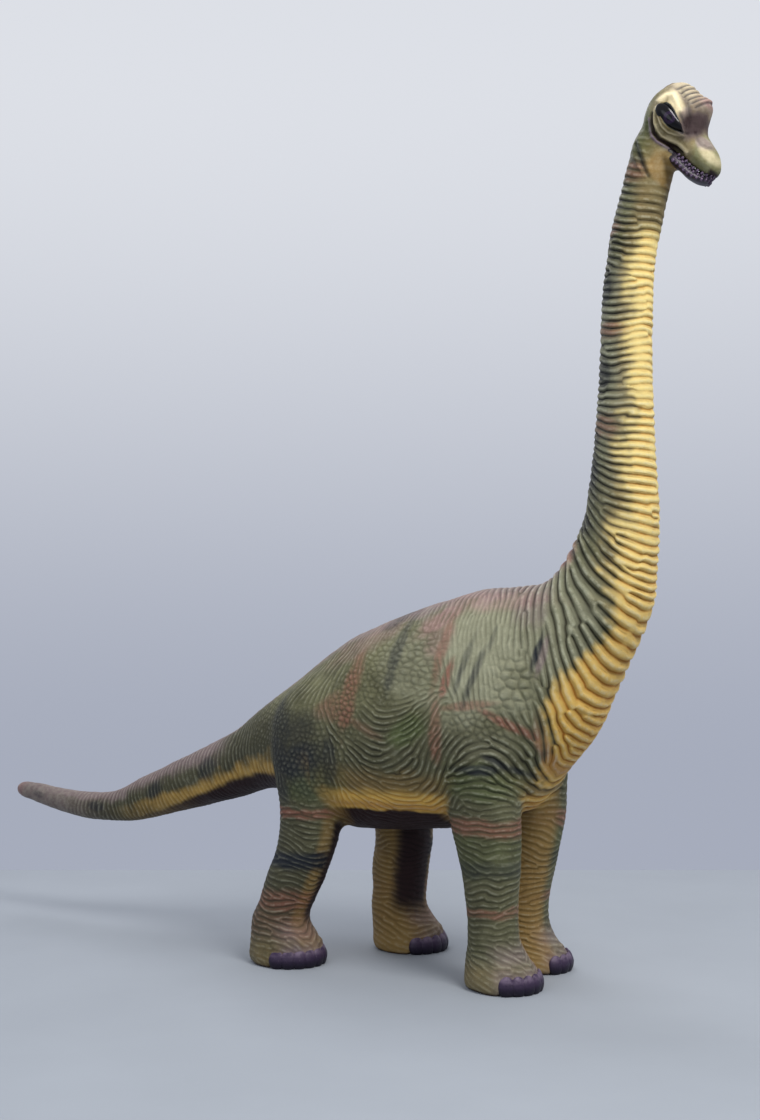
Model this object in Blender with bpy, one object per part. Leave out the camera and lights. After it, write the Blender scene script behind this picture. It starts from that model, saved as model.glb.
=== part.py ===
"""A painted statue of a long-necked dinosaur, standing on its own four feet with its head held high.

Everything is in metres. +X points the way the head faces, +Y is the statue's left and +Z is up.
The origin lies on the floor, under the middle of the statue's box.
"""

import math

import bmesh
import bpy
from mathutils import Matrix, Vector

# Gap that is left between two pieces that meet face to face
GAP = 0.0003
# Corners this close are sewn into one
SEW = 0.00001

# Trunk from the tail's tip to the top of the neck. Each row gives the middle of one slice (x, z), the
# slice's lean from upright in degrees, its half depth from belly to back and its half width.
TRUNK = (
    (-1.213, 0.409, -8, 0.006, 0.006),
    (-1.207, 0.408, -8, 0.015, 0.015),
    (-1.190, 0.406, -8, 0.024, 0.023),
    (-1.150, 0.401, -8, 0.030, 0.028),
    (-1.030, 0.383, -7, 0.037, 0.036),
    (-0.900, 0.371, -1, 0.043, 0.042),
    (-0.774, 0.378, 10, 0.050, 0.049),
    (-0.650, 0.415, 17, 0.067, 0.064),
    (-0.532, 0.455, 19, 0.077, 0.075),
    (-0.410, 0.496, 21, 0.087, 0.087),
    (-0.300, 0.5365, 24, 0.0965, 0.100),
    (-0.226, 0.567, 25, 0.106, 0.115),
    (-0.153, 0.594, 20, 0.130, 0.140),
    (-0.081, 0.610, 15, 0.161, 0.172),
    (-0.010, 0.624, 10, 0.198, 0.204),
    (0.065, 0.6365, 6, 0.2445, 0.227),
    (0.130, 0.654, 3, 0.275, 0.240),
    (0.200, 0.671, 1, 0.292, 0.246),
    (0.320, 0.698, 0, 0.311, 0.250),
    (0.440, 0.723, 0, 0.323, 0.246),
    (0.560, 0.751, 2, 0.323, 0.235),
    (0.656, 0.776, 6, 0.304, 0.217),
    (0.722, 0.828, 12, 0.258, 0.196),
    (0.788, 0.885, 20, 0.215, 0.173),
    (0.836, 0.957, 29, 0.172, 0.150),
    (0.882, 1.032, 38, 0.150, 0.133),
    (0.919, 1.112, 46, 0.137, 0.121),
    (0.939, 1.207, 55, 0.115, 0.108),
    (0.946, 1.299, 65, 0.102, 0.097),
    (0.949, 1.392, 74, 0.089, 0.087),
    (0.950, 1.467, 81, 0.080, 0.079),
    (0.951, 1.572, 87, 0.073, 0.072),
    (0.952, 1.682, 90, 0.069, 0.068),
    (0.953, 1.792, 87, 0.068, 0.067),
    (0.962, 1.912, 82, 0.065, 0.064),
    (0.980, 2.022, 79, 0.063, 0.062),
    (1.003, 2.112, 76, 0.061, 0.061),
    (1.018, 2.172, 76, 0.061, 0.061),
    (1.036, 2.250, 76, 0.054, 0.056),
    (1.048, 2.305, 76, 0.030, 0.034),
)
# How much wider the lower half of a slice is than its upper half, where the body is deep
BARREL_SAG = 0.12
SLIM_DEPTH = 0.12
BARREL_DEPTH = 0.28

# Where the trunk is parted, as distances along its middle line from the tail's tip
TAIL_MIDDLE_AT = 0.42
TAIL_BASE_AT = 0.78
TORSO_AT = 1.13
NECK_LOWER_AT = 2.33
NECK_MIDDLE_AT = 2.70
NECK_UPPER_AT = 3.05
HEAD_AT = 3.40
NECK_TOP = 3.55

# Skin folds that ring the trunk: their pitch along it and how far a crest stands over its valleys
TAIL_PITCH = 0.050
TAIL_FOLD = 0.003
NECK_PITCH = 0.044
NECK_FOLD = 0.007
CHEST_PITCH = 0.046
CHEST_FOLD = 0.013
# The folds of the chest start here along the trunk, and fade in over this much of it
CHEST_START = 1.86
CHEST_FADE = 0.16
BARREL_RING = 0.048

# Welts of the flank, alike on both sides. Each point gives the distance along the trunk and the turn
# from the belly in degrees, and a row of welts steps down the flank by a fixed turn.
FLANK_RADIUS = 0.28
SWAG = ((1.36, 92), (1.45, 76), (1.56, 68), (1.66, 82), (1.72, 104))
SWAGS = 3
SWAG_STEP = -17
SWAG_LIFT = 0.008
SWAG_WIDTH = 0.022
ARCH = ((1.72, 74), (1.76, 88), (1.84, 96), (1.92, 93), (1.99, 78))
ARCHES = 2
ARCH_STEP = -13
ARCH_LIFT = 0.009
ARCH_WIDTH = 0.020
SHOULDER = ((1.76, 156), (1.77, 128), (1.80, 104))
SHOULDER_LIFT = 0.014
SHOULDER_WIDTH = 0.060

# Pebbles of the hide: half width, height, how deep each is sunk, and how far apart they lie
PEBBLE_HALF = 0.018
PEBBLE_TALL = 0.017
PEBBLE_SUNK = 0.011
PEBBLE_PITCH = 0.045
# Pebbled patches of the torso: first and last distance, then first and last turn from the belly
PEBBLE_PATCHES = (
    (1.50, 1.62, 106, 130),
    (1.89, 1.93, 104, 112),
)
# Pebbled patch of each thigh: first and last height, and first and last turn from its front
THIGH_PEBBLES = (0.51, 0.60, 64, 110)

TAIL_SIDES = 14
NECK_SIDES = 18
TORSO_SIDES = 38
LEG_SIDES = 16

# Legs from the sole up: height, half length and half width of the front and hind pairs
FRONT_GIRTH = (
    (0.000, 0.099, 0.092),
    (0.014, 0.106, 0.098),
    (0.035, 0.104, 0.096),
    (0.068, 0.090, 0.085),
    (0.110, 0.075, 0.073),
    (0.170, 0.070, 0.069),
    (0.260, 0.076, 0.074),
    (0.350, 0.086, 0.081),
    (0.430, 0.096, 0.088),
    (0.520, 0.105, 0.095),
    (0.610, 0.118, 0.100),
    (0.680, 0.118, 0.092),
    (0.730, 0.095, 0.070),
    (0.770, 0.045, 0.035),
)
HIND_GIRTH = (
    (0.000, 0.102, 0.095),
    (0.014, 0.111, 0.101),
    (0.045, 0.110, 0.099),
    (0.080, 0.098, 0.091),
    (0.115, 0.086, 0.083),
    (0.160, 0.081, 0.079),
    (0.240, 0.085, 0.082),
    (0.330, 0.086, 0.085),
    (0.400, 0.089, 0.088),
    (0.470, 0.099, 0.094),
    (0.540, 0.120, 0.101),
    (0.620, 0.145, 0.103),
    (0.700, 0.150, 0.098),
    (0.770, 0.122, 0.080),
    (0.830, 0.060, 0.040),
)
# Legs' middle lines from the sole up: height, x and distance from the middle plane
LEG_LINES = {
    "front_right": (
        (0.000, 0.651, 0.125),
        (0.030, 0.650, 0.125),
        (0.068, 0.637, 0.125),
        (0.110, 0.626, 0.125),
        (0.200, 0.619, 0.125),
        (0.330, 0.612, 0.126),
        (0.450, 0.600, 0.128),
        (0.620, 0.592, 0.132),
        (0.760, 0.590, 0.125),
    ),
    "front_left": (
        (0.000, 0.634, 0.125),
        (0.030, 0.630, 0.125),
        (0.068, 0.614, 0.125),
        (0.110, 0.603, 0.125),
        (0.200, 0.601, 0.125),
        (0.330, 0.616, 0.126),
        (0.450, 0.622, 0.128),
        (0.620, 0.604, 0.132),
        (0.760, 0.592, 0.125),
    ),
    "hind_right": (
        (0.000, -0.016, 0.165),
        (0.045, -0.018, 0.165),
        (0.080, -0.028, 0.165),
        (0.115, -0.038, 0.165),
        (0.190, -0.012, 0.164),
        (0.260, 0.016, 0.162),
        (0.330, 0.045, 0.160),
        (0.430, 0.064, 0.157),
        (0.560, 0.066, 0.148),
        (0.830, 0.095, 0.120),
    ),
    "hind_left": (
        (0.000, 0.206, 0.165),
        (0.045, 0.202, 0.165),
        (0.080, 0.188, 0.165),
        (0.115, 0.171, 0.165),
        (0.190, 0.171, 0.164),
        (0.260, 0.177, 0.162),
        (0.330, 0.188, 0.160),
        (0.430, 0.184, 0.157),
        (0.560, 0.138, 0.148),
        (0.830, 0.105, 0.120),
    ),
}
LEG_FOLDS_FROM = 0.125
LEG_FOLDS_TO = 0.600
LEG_PITCH = 0.053
LEG_FOLD = 0.007

# Toe nails: how many a foot has, the angle between two, and the half sizes of one
NAILS = 5
NAIL_SPREAD = math.radians(27)
NAIL_HALF_RADIAL = 0.022
NAIL_HALF_WIDE = 0.0245
NAIL_HALF_TALL = 0.026
NAIL_MIDDLE = 0.020
NAIL_INSET = 0.012

# Head: a point of the skull, and the dip of the line from it to the snout
SKULL = Vector((1.038, 0.0, 2.293))
SNOUT_DIP = math.radians(48)
FORWARD = Vector((math.cos(SNOUT_DIP), 0.0, -math.sin(SNOUT_DIP)))
CROWNWARD = Vector((math.sin(SNOUT_DIP), 0.0, math.cos(SNOUT_DIP)))
# Distance along the snout line, underside, crown and half width of each slice of the upper head
HEAD = (
    (-0.049, 0.052, 0.076, 0.010),
    (-0.044, 0.024, 0.095, 0.034),
    (-0.030, -0.014, 0.113, 0.052),
    (-0.008, -0.032, 0.126, 0.064),
    (0.020, -0.032, 0.129, 0.070),
    (0.048, -0.028, 0.130, 0.070),
    (0.068, -0.020, 0.137, 0.064),
    (0.082, -0.016, 0.130, 0.058),
    (0.096, -0.012, 0.107, 0.053),
    (0.110, -0.009, 0.085, 0.050),
    (0.124, -0.008, 0.071, 0.049),
    (0.148, -0.009, 0.062, 0.050),
    (0.176, -0.008, 0.056, 0.050),
    (0.197, -0.004, 0.047, 0.046),
    (0.211, 0.001, 0.037, 0.037),
    (0.219, 0.008, 0.028, 0.023),
    (0.222, 0.015, 0.022, 0.009),
)
HEAD_RINGS = 24
HEAD_SIDES = 24
CROWN_NARROWING = 0.20
# Brow over the eye and crease under it, each as points along the snout line and crownward
BROW = ((-0.020, 0.058), (0.015, 0.074), (0.060, 0.072), (0.105, 0.050))
BROW_LIFT = 0.006
BROW_WIDTH = 0.012
CHEEK = ((-0.030, 0.020), (-0.008, -0.004), (0.040, -0.012), (0.090, 0.006), (0.130, 0.012))
CHEEK_LIFT = 0.004
CHEEK_WIDTH = 0.009
# Forehead ridges: the first and last place along the snout line, how many, and their height
RIDGE_FROM = -0.005
RIDGE_TO = 0.085
RIDGES = 5
RIDGE_LIFT = 0.004

# Lower jaw: distance along the snout line, underside, lip line and half width
JAW = (
    (0.060, -0.060, -0.013, 0.044),
    (0.100, -0.051, -0.010, 0.046),
    (0.140, -0.043, -0.009, 0.045),
    (0.180, -0.041, -0.009, 0.044),
    (0.202, -0.034, -0.005, 0.038),
    (0.214, -0.026, 0.000, 0.027),
    (0.220, -0.018, 0.004, 0.014),
)
JAW_RINGS = 12
JAW_SIDES = 20
TEETH = 13
TEETH_FROM = 0.108
TOOTH_HALF_WIDE = 0.0045
TOOTH_ROOT = -0.032
TOOTH_TIP = -0.0110
TOOTH_ARCH_LENGTH = 0.106
TOOTH_ARCH_WIDTH = 0.043

# Eye: its middle in the head's own directions, and its half sizes
EYE_ALONG = 0.044
EYE_UP = 0.036
EYE_OUT = 0.0655
EYE_HALF = (0.047, 0.013, 0.019)
EYE_FORWARD_TURN = math.radians(8)

GREEN_HIDE = (0.20, 0.21, 0.12)
OCHRE_HIDE = (0.42, 0.33, 0.14)
MAUVE_HIDE = (0.22, 0.18, 0.16)
TAIL_HIDE = (0.12, 0.12, 0.09)
NAIL_PURPLE = (0.10, 0.06, 0.12)
JAW_PURPLE = (0.06, 0.03, 0.07)
EYE_BLACK = (0.012, 0.010, 0.018)
HIDE_ROUGHNESS = 0.55
NAIL_ROUGHNESS = 0.40
EYE_ROUGHNESS = 0.08


def clear_scene():
    for item in list(bpy.data.objects):
        bpy.data.objects.remove(item, do_unlink=True)


def with_distance(rows):
    """The trunk's rows, each led by its distance along the middle line from the tail's tip."""
    distance = 0.0
    led = []
    before = rows[0]
    for row in rows:
        distance += math.hypot(row[0] - before[0], row[1] - before[1])
        led.append((distance, *row))
        before = row
    return led


def slopes(rows, column):
    """The slope of one column at every row, as a smooth curve through the rows has it."""
    steps = []
    for low, high in zip(rows, rows[1:]):
        steps.append((high[0] - low[0], (high[column] - low[column]) / (high[0] - low[0])))
    inner = []
    for (run_a, rise_a), (run_b, rise_b) in zip(steps, steps[1:]):
        inner.append((rise_a * run_b + rise_b * run_a) / (run_a + run_b))
    return [steps[0][1], *inner, steps[-1][1]]


def read(rows, place):
    """The values at a place along a table of rows, on a smooth curve through them."""
    place = min(max(place, rows[0][0]), rows[-1][0])
    index = 0
    while index < len(rows) - 2 and place > rows[index + 1][0]:
        index += 1
    low, high = rows[index], rows[index + 1]
    run = high[0] - low[0]
    part = (place - low[0]) / run
    values = []
    for column in range(1, len(low)):
        slope = slopes(rows, column)
        values.append(
            low[column] * (1 + 2 * part) * (1 - part) ** 2
            + slope[index] * run * part * (1 - part) ** 2
            + high[column] * part**2 * (3 - 2 * part)
            + slope[index + 1] * run * part**2 * (part - 1)
        )
    return values


def ease(value):
    """Nought below nought, one above one, and a soft step between."""
    value = min(max(value, 0.0), 1.0)
    return value * value * (3 - 2 * value)


TRUNK_LINE = with_distance(TRUNK)


def finish(name, colour, roughness):
    """A painted finish of one colour."""
    paint = bpy.data.materials.new(name)
    paint.use_nodes = True
    shader = paint.node_tree.nodes["Principled BSDF"]
    shader.inputs["Base Color"].default_value = (*colour, 1.0)
    shader.inputs["Roughness"].default_value = roughness
    shader.inputs["Metallic"].default_value = 0.0
    paint.diffuse_color = (*colour, 1.0)
    return paint


def body_from(name, mesh_work, paint=None):
    """An object made of the mesh that is being worked on, which is freed."""
    mesh_work.normal_update()
    bmesh.ops.recalc_face_normals(mesh_work, faces=mesh_work.faces)
    mesh = bpy.data.meshes.new(name)
    mesh_work.to_mesh(mesh)
    mesh_work.free()
    mesh.shade_smooth()
    body = bpy.data.objects.new(name, mesh)
    bpy.context.scene.collection.objects.link(body)
    if paint:
        mesh.materials.append(paint)
    return body


def tube(name, rings, sides, place, paint=None):
    """A grid rolled into a closed tube. Each of the rings is handed to place, with the turn round it."""
    shell = bmesh.new()
    bmesh.ops.create_grid(shell, x_segments=len(rings) - 1, y_segments=sides, size=0.5)
    for corner in shell.verts:
        ring = rings[round((corner.co.x + 0.5) * (len(rings) - 1))]
        turn = (corner.co.y + 0.5) * math.tau
        corner.co = place(ring, turn)
    bmesh.ops.remove_doubles(shell, verts=shell.verts, dist=SEW)
    bmesh.ops.triangulate(shell, faces=shell.faces, quad_method="FIXED")
    bmesh.ops.holes_fill(shell, edges=shell.edges, sides=0)
    return body_from(name, shell, paint)


def settle(body):
    """Makes what the body's modifiers show its own mesh, of which only the largest surface is kept."""
    graph = bpy.context.evaluated_depsgraph_get()
    made = bpy.data.meshes.new_from_object(body.evaluated_get(graph))
    body.modifiers.clear()
    body.data = made
    work = bmesh.new()
    work.from_mesh(made)
    surfaces = []
    unseen = set(work.verts)
    while unseen:
        surface = {unseen.pop()}
        edge_of_surface = list(surface)
        while edge_of_surface:
            corner = edge_of_surface.pop()
            for edge in corner.link_edges:
                other = edge.other_vert(corner)
                if other in unseen:
                    unseen.remove(other)
                    surface.add(other)
                    edge_of_surface.append(other)
        surfaces.append(surface)
    surfaces.sort(key=area_of, reverse=True)
    for scrap in surfaces[1:]:
        bmesh.ops.delete(work, geom=list(scrap), context="VERTS")
    work.to_mesh(made)
    work.free()
    made.shade_smooth()


def area_of(corners):
    """The area of the faces round a set of corners."""
    faces = {face for corner in corners for face in corner.link_faces}
    return sum(face.calc_area() for face in faces)


def cut(body, *cutters):
    """Takes the cutters out of the body, and then removes them."""
    for cutter in cutters:
        knife = body.modifiers.new("cut", "BOOLEAN")
        knife.operation = "DIFFERENCE"
        knife.solver = "EXACT"
        knife.object = cutter
    settle(body)
    for cutter in cutters:
        bpy.data.objects.remove(cutter, do_unlink=True)


def fuse(body, pieces):
    """Joins the pieces to the body with one union, and then removes them."""
    bench = bpy.data.collections.new("pieces of " + body.name)
    for piece in pieces:
        bench.objects.link(piece)
    join = body.modifiers.new("join", "BOOLEAN")
    join.operation = "UNION"
    join.solver = "EXACT"
    join.operand_type = "COLLECTION"
    join.collection = bench
    settle(body)
    for piece in pieces:
        bpy.data.objects.remove(piece, do_unlink=True)
    bpy.data.collections.remove(bench)


def trunk_point(distance, turn, lift=0.0):
    """A point of the trunk's skin. The turn starts under the belly, and lift moves the skin outwards."""
    x, z, lean, half_depth, half_width = read(TRUNK_LINE, distance)
    lean = math.radians(lean)
    sag = BARREL_SAG * ease((half_depth - SLIM_DEPTH) / (BARREL_DEPTH - SLIM_DEPTH))
    backward = -math.cos(turn) * (half_depth + lift)
    sideways = math.sin(turn) * (half_width + lift) * (1 + sag * math.cos(turn))
    return Vector((x - math.sin(lean) * backward, sideways, z + math.cos(lean) * backward))


def fold_rings(start, end, pitch, height):
    """Rings from start to end that rise to a crest and sink to a valley, level with the skin at both ends."""
    halves = 2 * max(1, round((end - start) / pitch))
    rings = [(start, 0.0)]
    for half in range(1, halves):
        side = 0.5 if half % 2 else -0.5
        rings.append((start + (end - start) * half / halves, side * height))
    rings.append((end, 0.0))
    return rings


def folded(start, end, pitch, height):
    """Fold rings between two cuts of the trunk, half a gap short of each."""
    return fold_rings(start + GAP, end - GAP, pitch, height)


def hide_lift(ring, turn):
    """How far folds and welts lift the trunk's skin. A fold is half as high on the back as below."""
    distance, lift = ring
    return lift * (0.75 + 0.25 * math.cos(turn)) + flank_lift(distance, turn)


def place_on_trunk(ring, turn):
    return trunk_point(ring[0], turn, hide_lift(ring, turn))


def stepped(path, step):
    """A path of the flank moved round it by a step in degrees, in metres along and round."""
    return [(distance, math.radians(turn + step) * FLANK_RADIUS) for distance, turn in path]


def flank_lift(distance, turn):
    """Belly swags, the shoulder's bulge and the arches over the front leg, alike on both sides."""
    if not TORSO_AT < distance < NECK_LOWER_AT:
        return 0.0
    round_flank = abs(math.remainder(turn, math.tau)) * FLANK_RADIUS
    lift = welt(stepped(SHOULDER, 0), distance, round_flank, SHOULDER_LIFT, SHOULDER_WIDTH)
    for index in range(SWAGS):
        lift += welt(stepped(SWAG, index * SWAG_STEP), distance, round_flank, SWAG_LIFT, SWAG_WIDTH)
    for index in range(ARCHES):
        lift += welt(stepped(ARCH, index * ARCH_STEP), distance, round_flank, ARCH_LIFT, ARCH_WIDTH)
    return lift


def torso_rings():
    """Plain rings along the barrel, then the chest's folds, which fan out from the withers."""
    count = round((CHEST_START - TORSO_AT) / BARREL_RING)
    rings = []
    for index in range(count):
        rings.append((TORSO_AT + GAP + (CHEST_START - TORSO_AT) * index / count, 0.0))
    for distance, lift in fold_rings(CHEST_START, NECK_LOWER_AT - GAP, CHEST_PITCH, CHEST_FOLD):
        rings.append((distance, lift * ease((distance - CHEST_START) / CHEST_FADE)))
    return rings


def build_trunk(paints):
    tail = TAIL_PITCH, TAIL_FOLD
    neck = NECK_PITCH, NECK_FOLD
    tip_rings = [(row[0], 0.0) for row in TRUNK_LINE[:3]]
    tip_rings += fold_rings(TRUNK_LINE[3][0], TAIL_MIDDLE_AT - GAP, *tail)
    tube("tail_tip", tip_rings, TAIL_SIDES, place_on_trunk, paints["tail"])
    lengths = (
        ("tail_middle", folded(TAIL_MIDDLE_AT, TAIL_BASE_AT, *tail), TAIL_SIDES, "tail"),
        ("tail_base", folded(TAIL_BASE_AT, TORSO_AT, *tail), TAIL_SIDES + 4, "tail"),
        ("torso", torso_rings(), TORSO_SIDES, "green"),
        ("neck_lower", folded(NECK_LOWER_AT, NECK_MIDDLE_AT, NECK_PITCH, CHEST_FOLD), NECK_SIDES, "green"),
        ("neck_middle", folded(NECK_MIDDLE_AT, NECK_UPPER_AT, *neck), NECK_SIDES, "ochre"),
        ("neck_upper", folded(NECK_UPPER_AT, HEAD_AT, *neck), NECK_SIDES, "ochre"),
    )
    for name, rings, sides, paint in lengths:
        length = tube(name, rings, sides, place_on_trunk, paints[paint])
        if name == "torso":
            fuse(length, torso_pebbles())


def pebble(skin_point, along, turn):
    """One pebble of the hide, a low five-sided stud that stands square on the skin."""
    step = 0.002
    here = skin_point(along, turn)
    forward = skin_point(along + step, turn) - here
    around = skin_point(along, turn + step) - here
    outward = forward.cross(around).normalized()
    inside = here - skin_point(along, turn + math.pi)
    if outward.dot(inside) < 0:
        outward.negate()
    work = bmesh.new()
    bmesh.ops.create_cone(
        work, cap_ends=True, segments=5, radius1=PEBBLE_HALF, radius2=PEBBLE_HALF * 0.6, depth=PEBBLE_TALL
    )
    bmesh.ops.translate(work, vec=(0, 0, PEBBLE_TALL / 2 - PEBBLE_SUNK), verts=work.verts)
    bmesh.ops.rotate(work, matrix=Vector((0, 0, 1)).rotation_difference(outward).to_matrix(), verts=work.verts)
    bmesh.ops.translate(work, vec=here, verts=work.verts)
    return body_from("pebble", work)


def staggered(first, last, first_turn, last_turn, radius):
    """Places of a pebbled patch, in rows that are shifted by half a pitch in turn."""
    rows = max(1, round((last - first) / (PEBBLE_PITCH * 0.87)))
    turn_pitch = PEBBLE_PITCH / radius
    columns = max(1, round(math.radians(last_turn - first_turn) / turn_pitch))
    places = []
    for row in range(rows + 1):
        for column in range(columns + 1):
            along = first + (last - first) * row / rows
            places.append((along, math.radians(first_turn) + turn_pitch * (column + 0.5 * (row % 2))))
    return places


def torso_pebbles():
    """The studs of every pebbled patch of the torso, on both sides."""
    def skin(distance, turn):
        return trunk_point(distance, turn, flank_lift(distance, turn))

    studs = []
    for patch in PEBBLE_PATCHES:
        for along, turn in staggered(*patch, FLANK_RADIUS):
            studs.append(pebble(skin, along, turn))
            studs.append(pebble(skin, along, -turn))
    return studs


def leg_point(girth, line, side, height, turn, lift):
    """A point of a leg's skin at a height, with the turn starting at its front."""
    half_length, half_width = read(girth, height)
    x, out = read(line, height)
    return Vector((
        x + math.cos(turn) * (half_length + lift),
        side * out + math.sin(turn) * (half_width + lift),
        height,
    ))


def build_leg(name, paints):
    """One leg: ringed with folds, cut clear of the torso, and with its toe nails set in the foot."""
    girth = FRONT_GIRTH if name.startswith("front") else HIND_GIRTH
    line = LEG_LINES[name]
    side = -1 if name.endswith("right") else 1
    rings = [(row[0], 0.0) for row in girth if row[0] < LEG_FOLDS_FROM]
    rings += fold_rings(LEG_FOLDS_FROM, LEG_FOLDS_TO, LEG_PITCH, LEG_FOLD)
    rings += [(row[0], 0.0) for row in girth if row[0] > LEG_FOLDS_TO + 0.02]

    def place(ring, turn):
        height, lift = ring
        return leg_point(girth, line, side, height, turn, lift)

    def skin(height, turn):
        return leg_point(girth, line, side, height, turn, 0.0)

    leg = tube("leg_" + name, rings, LEG_SIDES, place, paints["green"])
    if name.startswith("hind"):
        places = staggered(*THIGH_PEBBLES, read(girth, THIGH_PEBBLES[0])[1])
        fuse(leg, [pebble(skin, height, side * turn) for height, turn in places])
    cut(leg, grown_torso(), nails_of("nail_pocket", girth, line, side, GAP))
    nails = nails_of("nails_" + name, girth, line, side, 0.0)
    nails.data.materials.clear()
    nails.data.materials.append(paints["nail"])


def grown_torso():
    """The torso swollen by one gap, which the legs are cut clear of."""
    return tube("grown_torso", torso_rings(), TORSO_SIDES, place_grown)


def place_grown(ring, turn):
    """The same skin as the trunk's, with the gap added all round."""
    return trunk_point(ring[0], turn, hide_lift(ring, turn) + 1.5 * GAP)


def nails_of(name, girth, line, side, growth):
    """The toe nails of one foot as one piece, flat on the floor."""
    half_length, half_width = read(girth, NAIL_MIDDLE)
    x, out = read(line, NAIL_MIDDLE)
    pieces = []
    for index in range(NAILS):
        turn = (index - (NAILS - 1) / 2) * NAIL_SPREAD
        work = bmesh.new()
        bmesh.ops.create_uvsphere(work, u_segments=8, v_segments=5, radius=1.0)
        size = Vector((NAIL_HALF_RADIAL + growth, NAIL_HALF_WIDE + growth, NAIL_HALF_TALL + growth))
        bmesh.ops.scale(work, vec=size, verts=work.verts)
        bmesh.ops.rotate(work, matrix=Matrix.Rotation(turn, 3, "Z"), verts=work.verts)
        centre = Vector((
            x + math.cos(turn) * (half_length - NAIL_INSET),
            side * out + math.sin(turn) * (half_width - NAIL_INSET),
            NAIL_MIDDLE,
        ))
        bmesh.ops.translate(work, vec=centre, verts=work.verts)
        if growth == 0.0:
            level_at_floor(work)
        pieces.append(body_from(f"{name}_{index}", work))
    whole = pieces[0]
    fuse(whole, pieces[1:])
    whole.name = name
    return whole


def level_at_floor(work):
    """Cuts off what lies under the floor and closes the cut with a flat face."""
    bmesh.ops.bisect_plane(
        work,
        geom=work.verts[:] + work.edges[:] + work.faces[:],
        plane_co=(0, 0, 0),
        plane_no=(0, 0, 1),
        clear_inner=True,
    )
    bmesh.ops.holes_fill(work, edges=work.edges, sides=0)


def head_frame(along, sideways, up):
    """A point given in the head's own directions."""
    return SKULL + FORWARD * along + Vector((0, sideways, 0)) + CROWNWARD * up


def distance_to(path, along, up):
    """How far a place on the side of the head is from a path drawn on it."""
    nearest = math.inf
    here = Vector((along, up))
    for start, end in zip(path, path[1:]):
        start, end = Vector(start), Vector(end)
        leg = end - start
        part = min(max((here - start).dot(leg) / leg.length_squared, 0.0), 1.0)
        nearest = min(nearest, (here - start - leg * part).length)
    return nearest


def welt(path, along, up, height, width):
    """The lift of a rounded welt that follows a path."""
    return height * math.exp(-((distance_to(path, along, up) / width) ** 2))


def head_lift(along, up, turn):
    """Brow, cheek fold and forehead ridges, as a lift of the head's skin."""
    side = abs(math.sin(turn))
    lift = welt(BROW, along, up, BROW_LIFT, BROW_WIDTH) * side
    lift += welt(CHEEK, along, up, CHEEK_LIFT, CHEEK_WIDTH) * side
    if RIDGE_FROM < along < RIDGE_TO and math.cos(turn) < -0.6:
        phase = (along - RIDGE_FROM) / (RIDGE_TO - RIDGE_FROM) * RIDGES
        lift += RIDGE_LIFT * math.sin(math.pi * phase) ** 2
    return lift


def head_point(along, turn, growth=0.0):
    """A point of the upper head's skin, with the turn starting under it."""
    under, crown, half_width = read(HEAD, along)
    middle, half = (crown + under) / 2, (crown - under) / 2
    up = middle - math.cos(turn) * half
    lift = head_lift(along, up, turn) + growth
    sideways = math.sin(turn) * (half_width * (1 + CROWN_NARROWING * math.cos(turn)) + lift)
    return head_frame(along, sideways, middle - math.cos(turn) * (half + lift))


def jaw_point(along, turn):
    """A point of the lower jaw's skin, with the turn starting under it."""
    under, lip, half_width = read(JAW, along)
    middle, half = (lip + under) / 2, (lip - under) / 2
    boxy = math.copysign(abs(math.cos(turn)) ** 0.6, math.cos(turn))
    return head_frame(along, math.sin(turn) * half_width, middle - boxy * half)


def spaced(rows, count):
    """Places along a table, closer together near both of its ends."""
    first, last = rows[0][0], rows[-1][0]
    places = []
    for index in range(count + 1):
        even = index / count
        eased = 0.5 - 0.5 * math.cos(math.pi * even)
        places.append(first + (last - first) * (0.45 * even + 0.55 * eased))
    return places


def upper_head(name, growth, paint=None):
    """The skull with its snout, fused with the top of the neck that carries it."""
    def place(along, turn):
        return head_point(along, turn, growth)

    def place_neck(distance, turn):
        return trunk_point(distance, turn, growth)

    skull = tube(name, spaced(HEAD, HEAD_RINGS), HEAD_SIDES, place, paint)
    steps = 6
    start = HEAD_AT + GAP if growth == 0.0 else HEAD_AT
    rings = [start + (NECK_TOP - start) * step / steps for step in range(steps + 1)]
    fuse(skull, [tube("nape", rings, NECK_SIDES, place_neck)])
    return skull


def tooth(index):
    """One lower tooth, a peg that tapers upwards from its root in the jaw."""
    swing = (index / (TEETH - 1) - 0.5) * math.pi
    along = TEETH_FROM + math.cos(swing) * TOOTH_ARCH_LENGTH
    sideways = math.sin(swing) * TOOTH_ARCH_WIDTH
    work = bmesh.new()
    bmesh.ops.create_cone(
        work,
        cap_ends=True,
        segments=5,
        radius1=TOOTH_HALF_WIDE,
        radius2=TOOTH_HALF_WIDE * 0.45,
        depth=TOOTH_TIP - TOOTH_ROOT,
    )
    bmesh.ops.translate(work, vec=(0, 0, (TOOTH_TIP + TOOTH_ROOT) / 2), verts=work.verts)
    for corner in work.verts:
        corner.co = head_frame(along + corner.co.x, sideways + corner.co.y, corner.co.z)
    return body_from(f"tooth_{index}", work)


def eye_of(name, side, growth, paint=None):
    """One almond-shaped eye, a ball drawn out along the snout line."""
    work = bmesh.new()
    bmesh.ops.create_uvsphere(work, u_segments=14, v_segments=8, radius=1.0)
    for corner in work.verts:
        along = corner.co.x * (EYE_HALF[0] + growth)
        out = corner.co.y * (EYE_HALF[1] + growth)
        up = corner.co.z * (EYE_HALF[2] + growth) * (1 - 0.25 * corner.co.x)
        turned = out * math.cos(EYE_FORWARD_TURN) - along * math.sin(EYE_FORWARD_TURN)
        ahead = along * math.cos(EYE_FORWARD_TURN) + out * math.sin(EYE_FORWARD_TURN)
        corner.co = head_frame(EYE_ALONG + ahead, side * (EYE_OUT + turned), EYE_UP + up)
    return body_from(name, work, paint)


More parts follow.
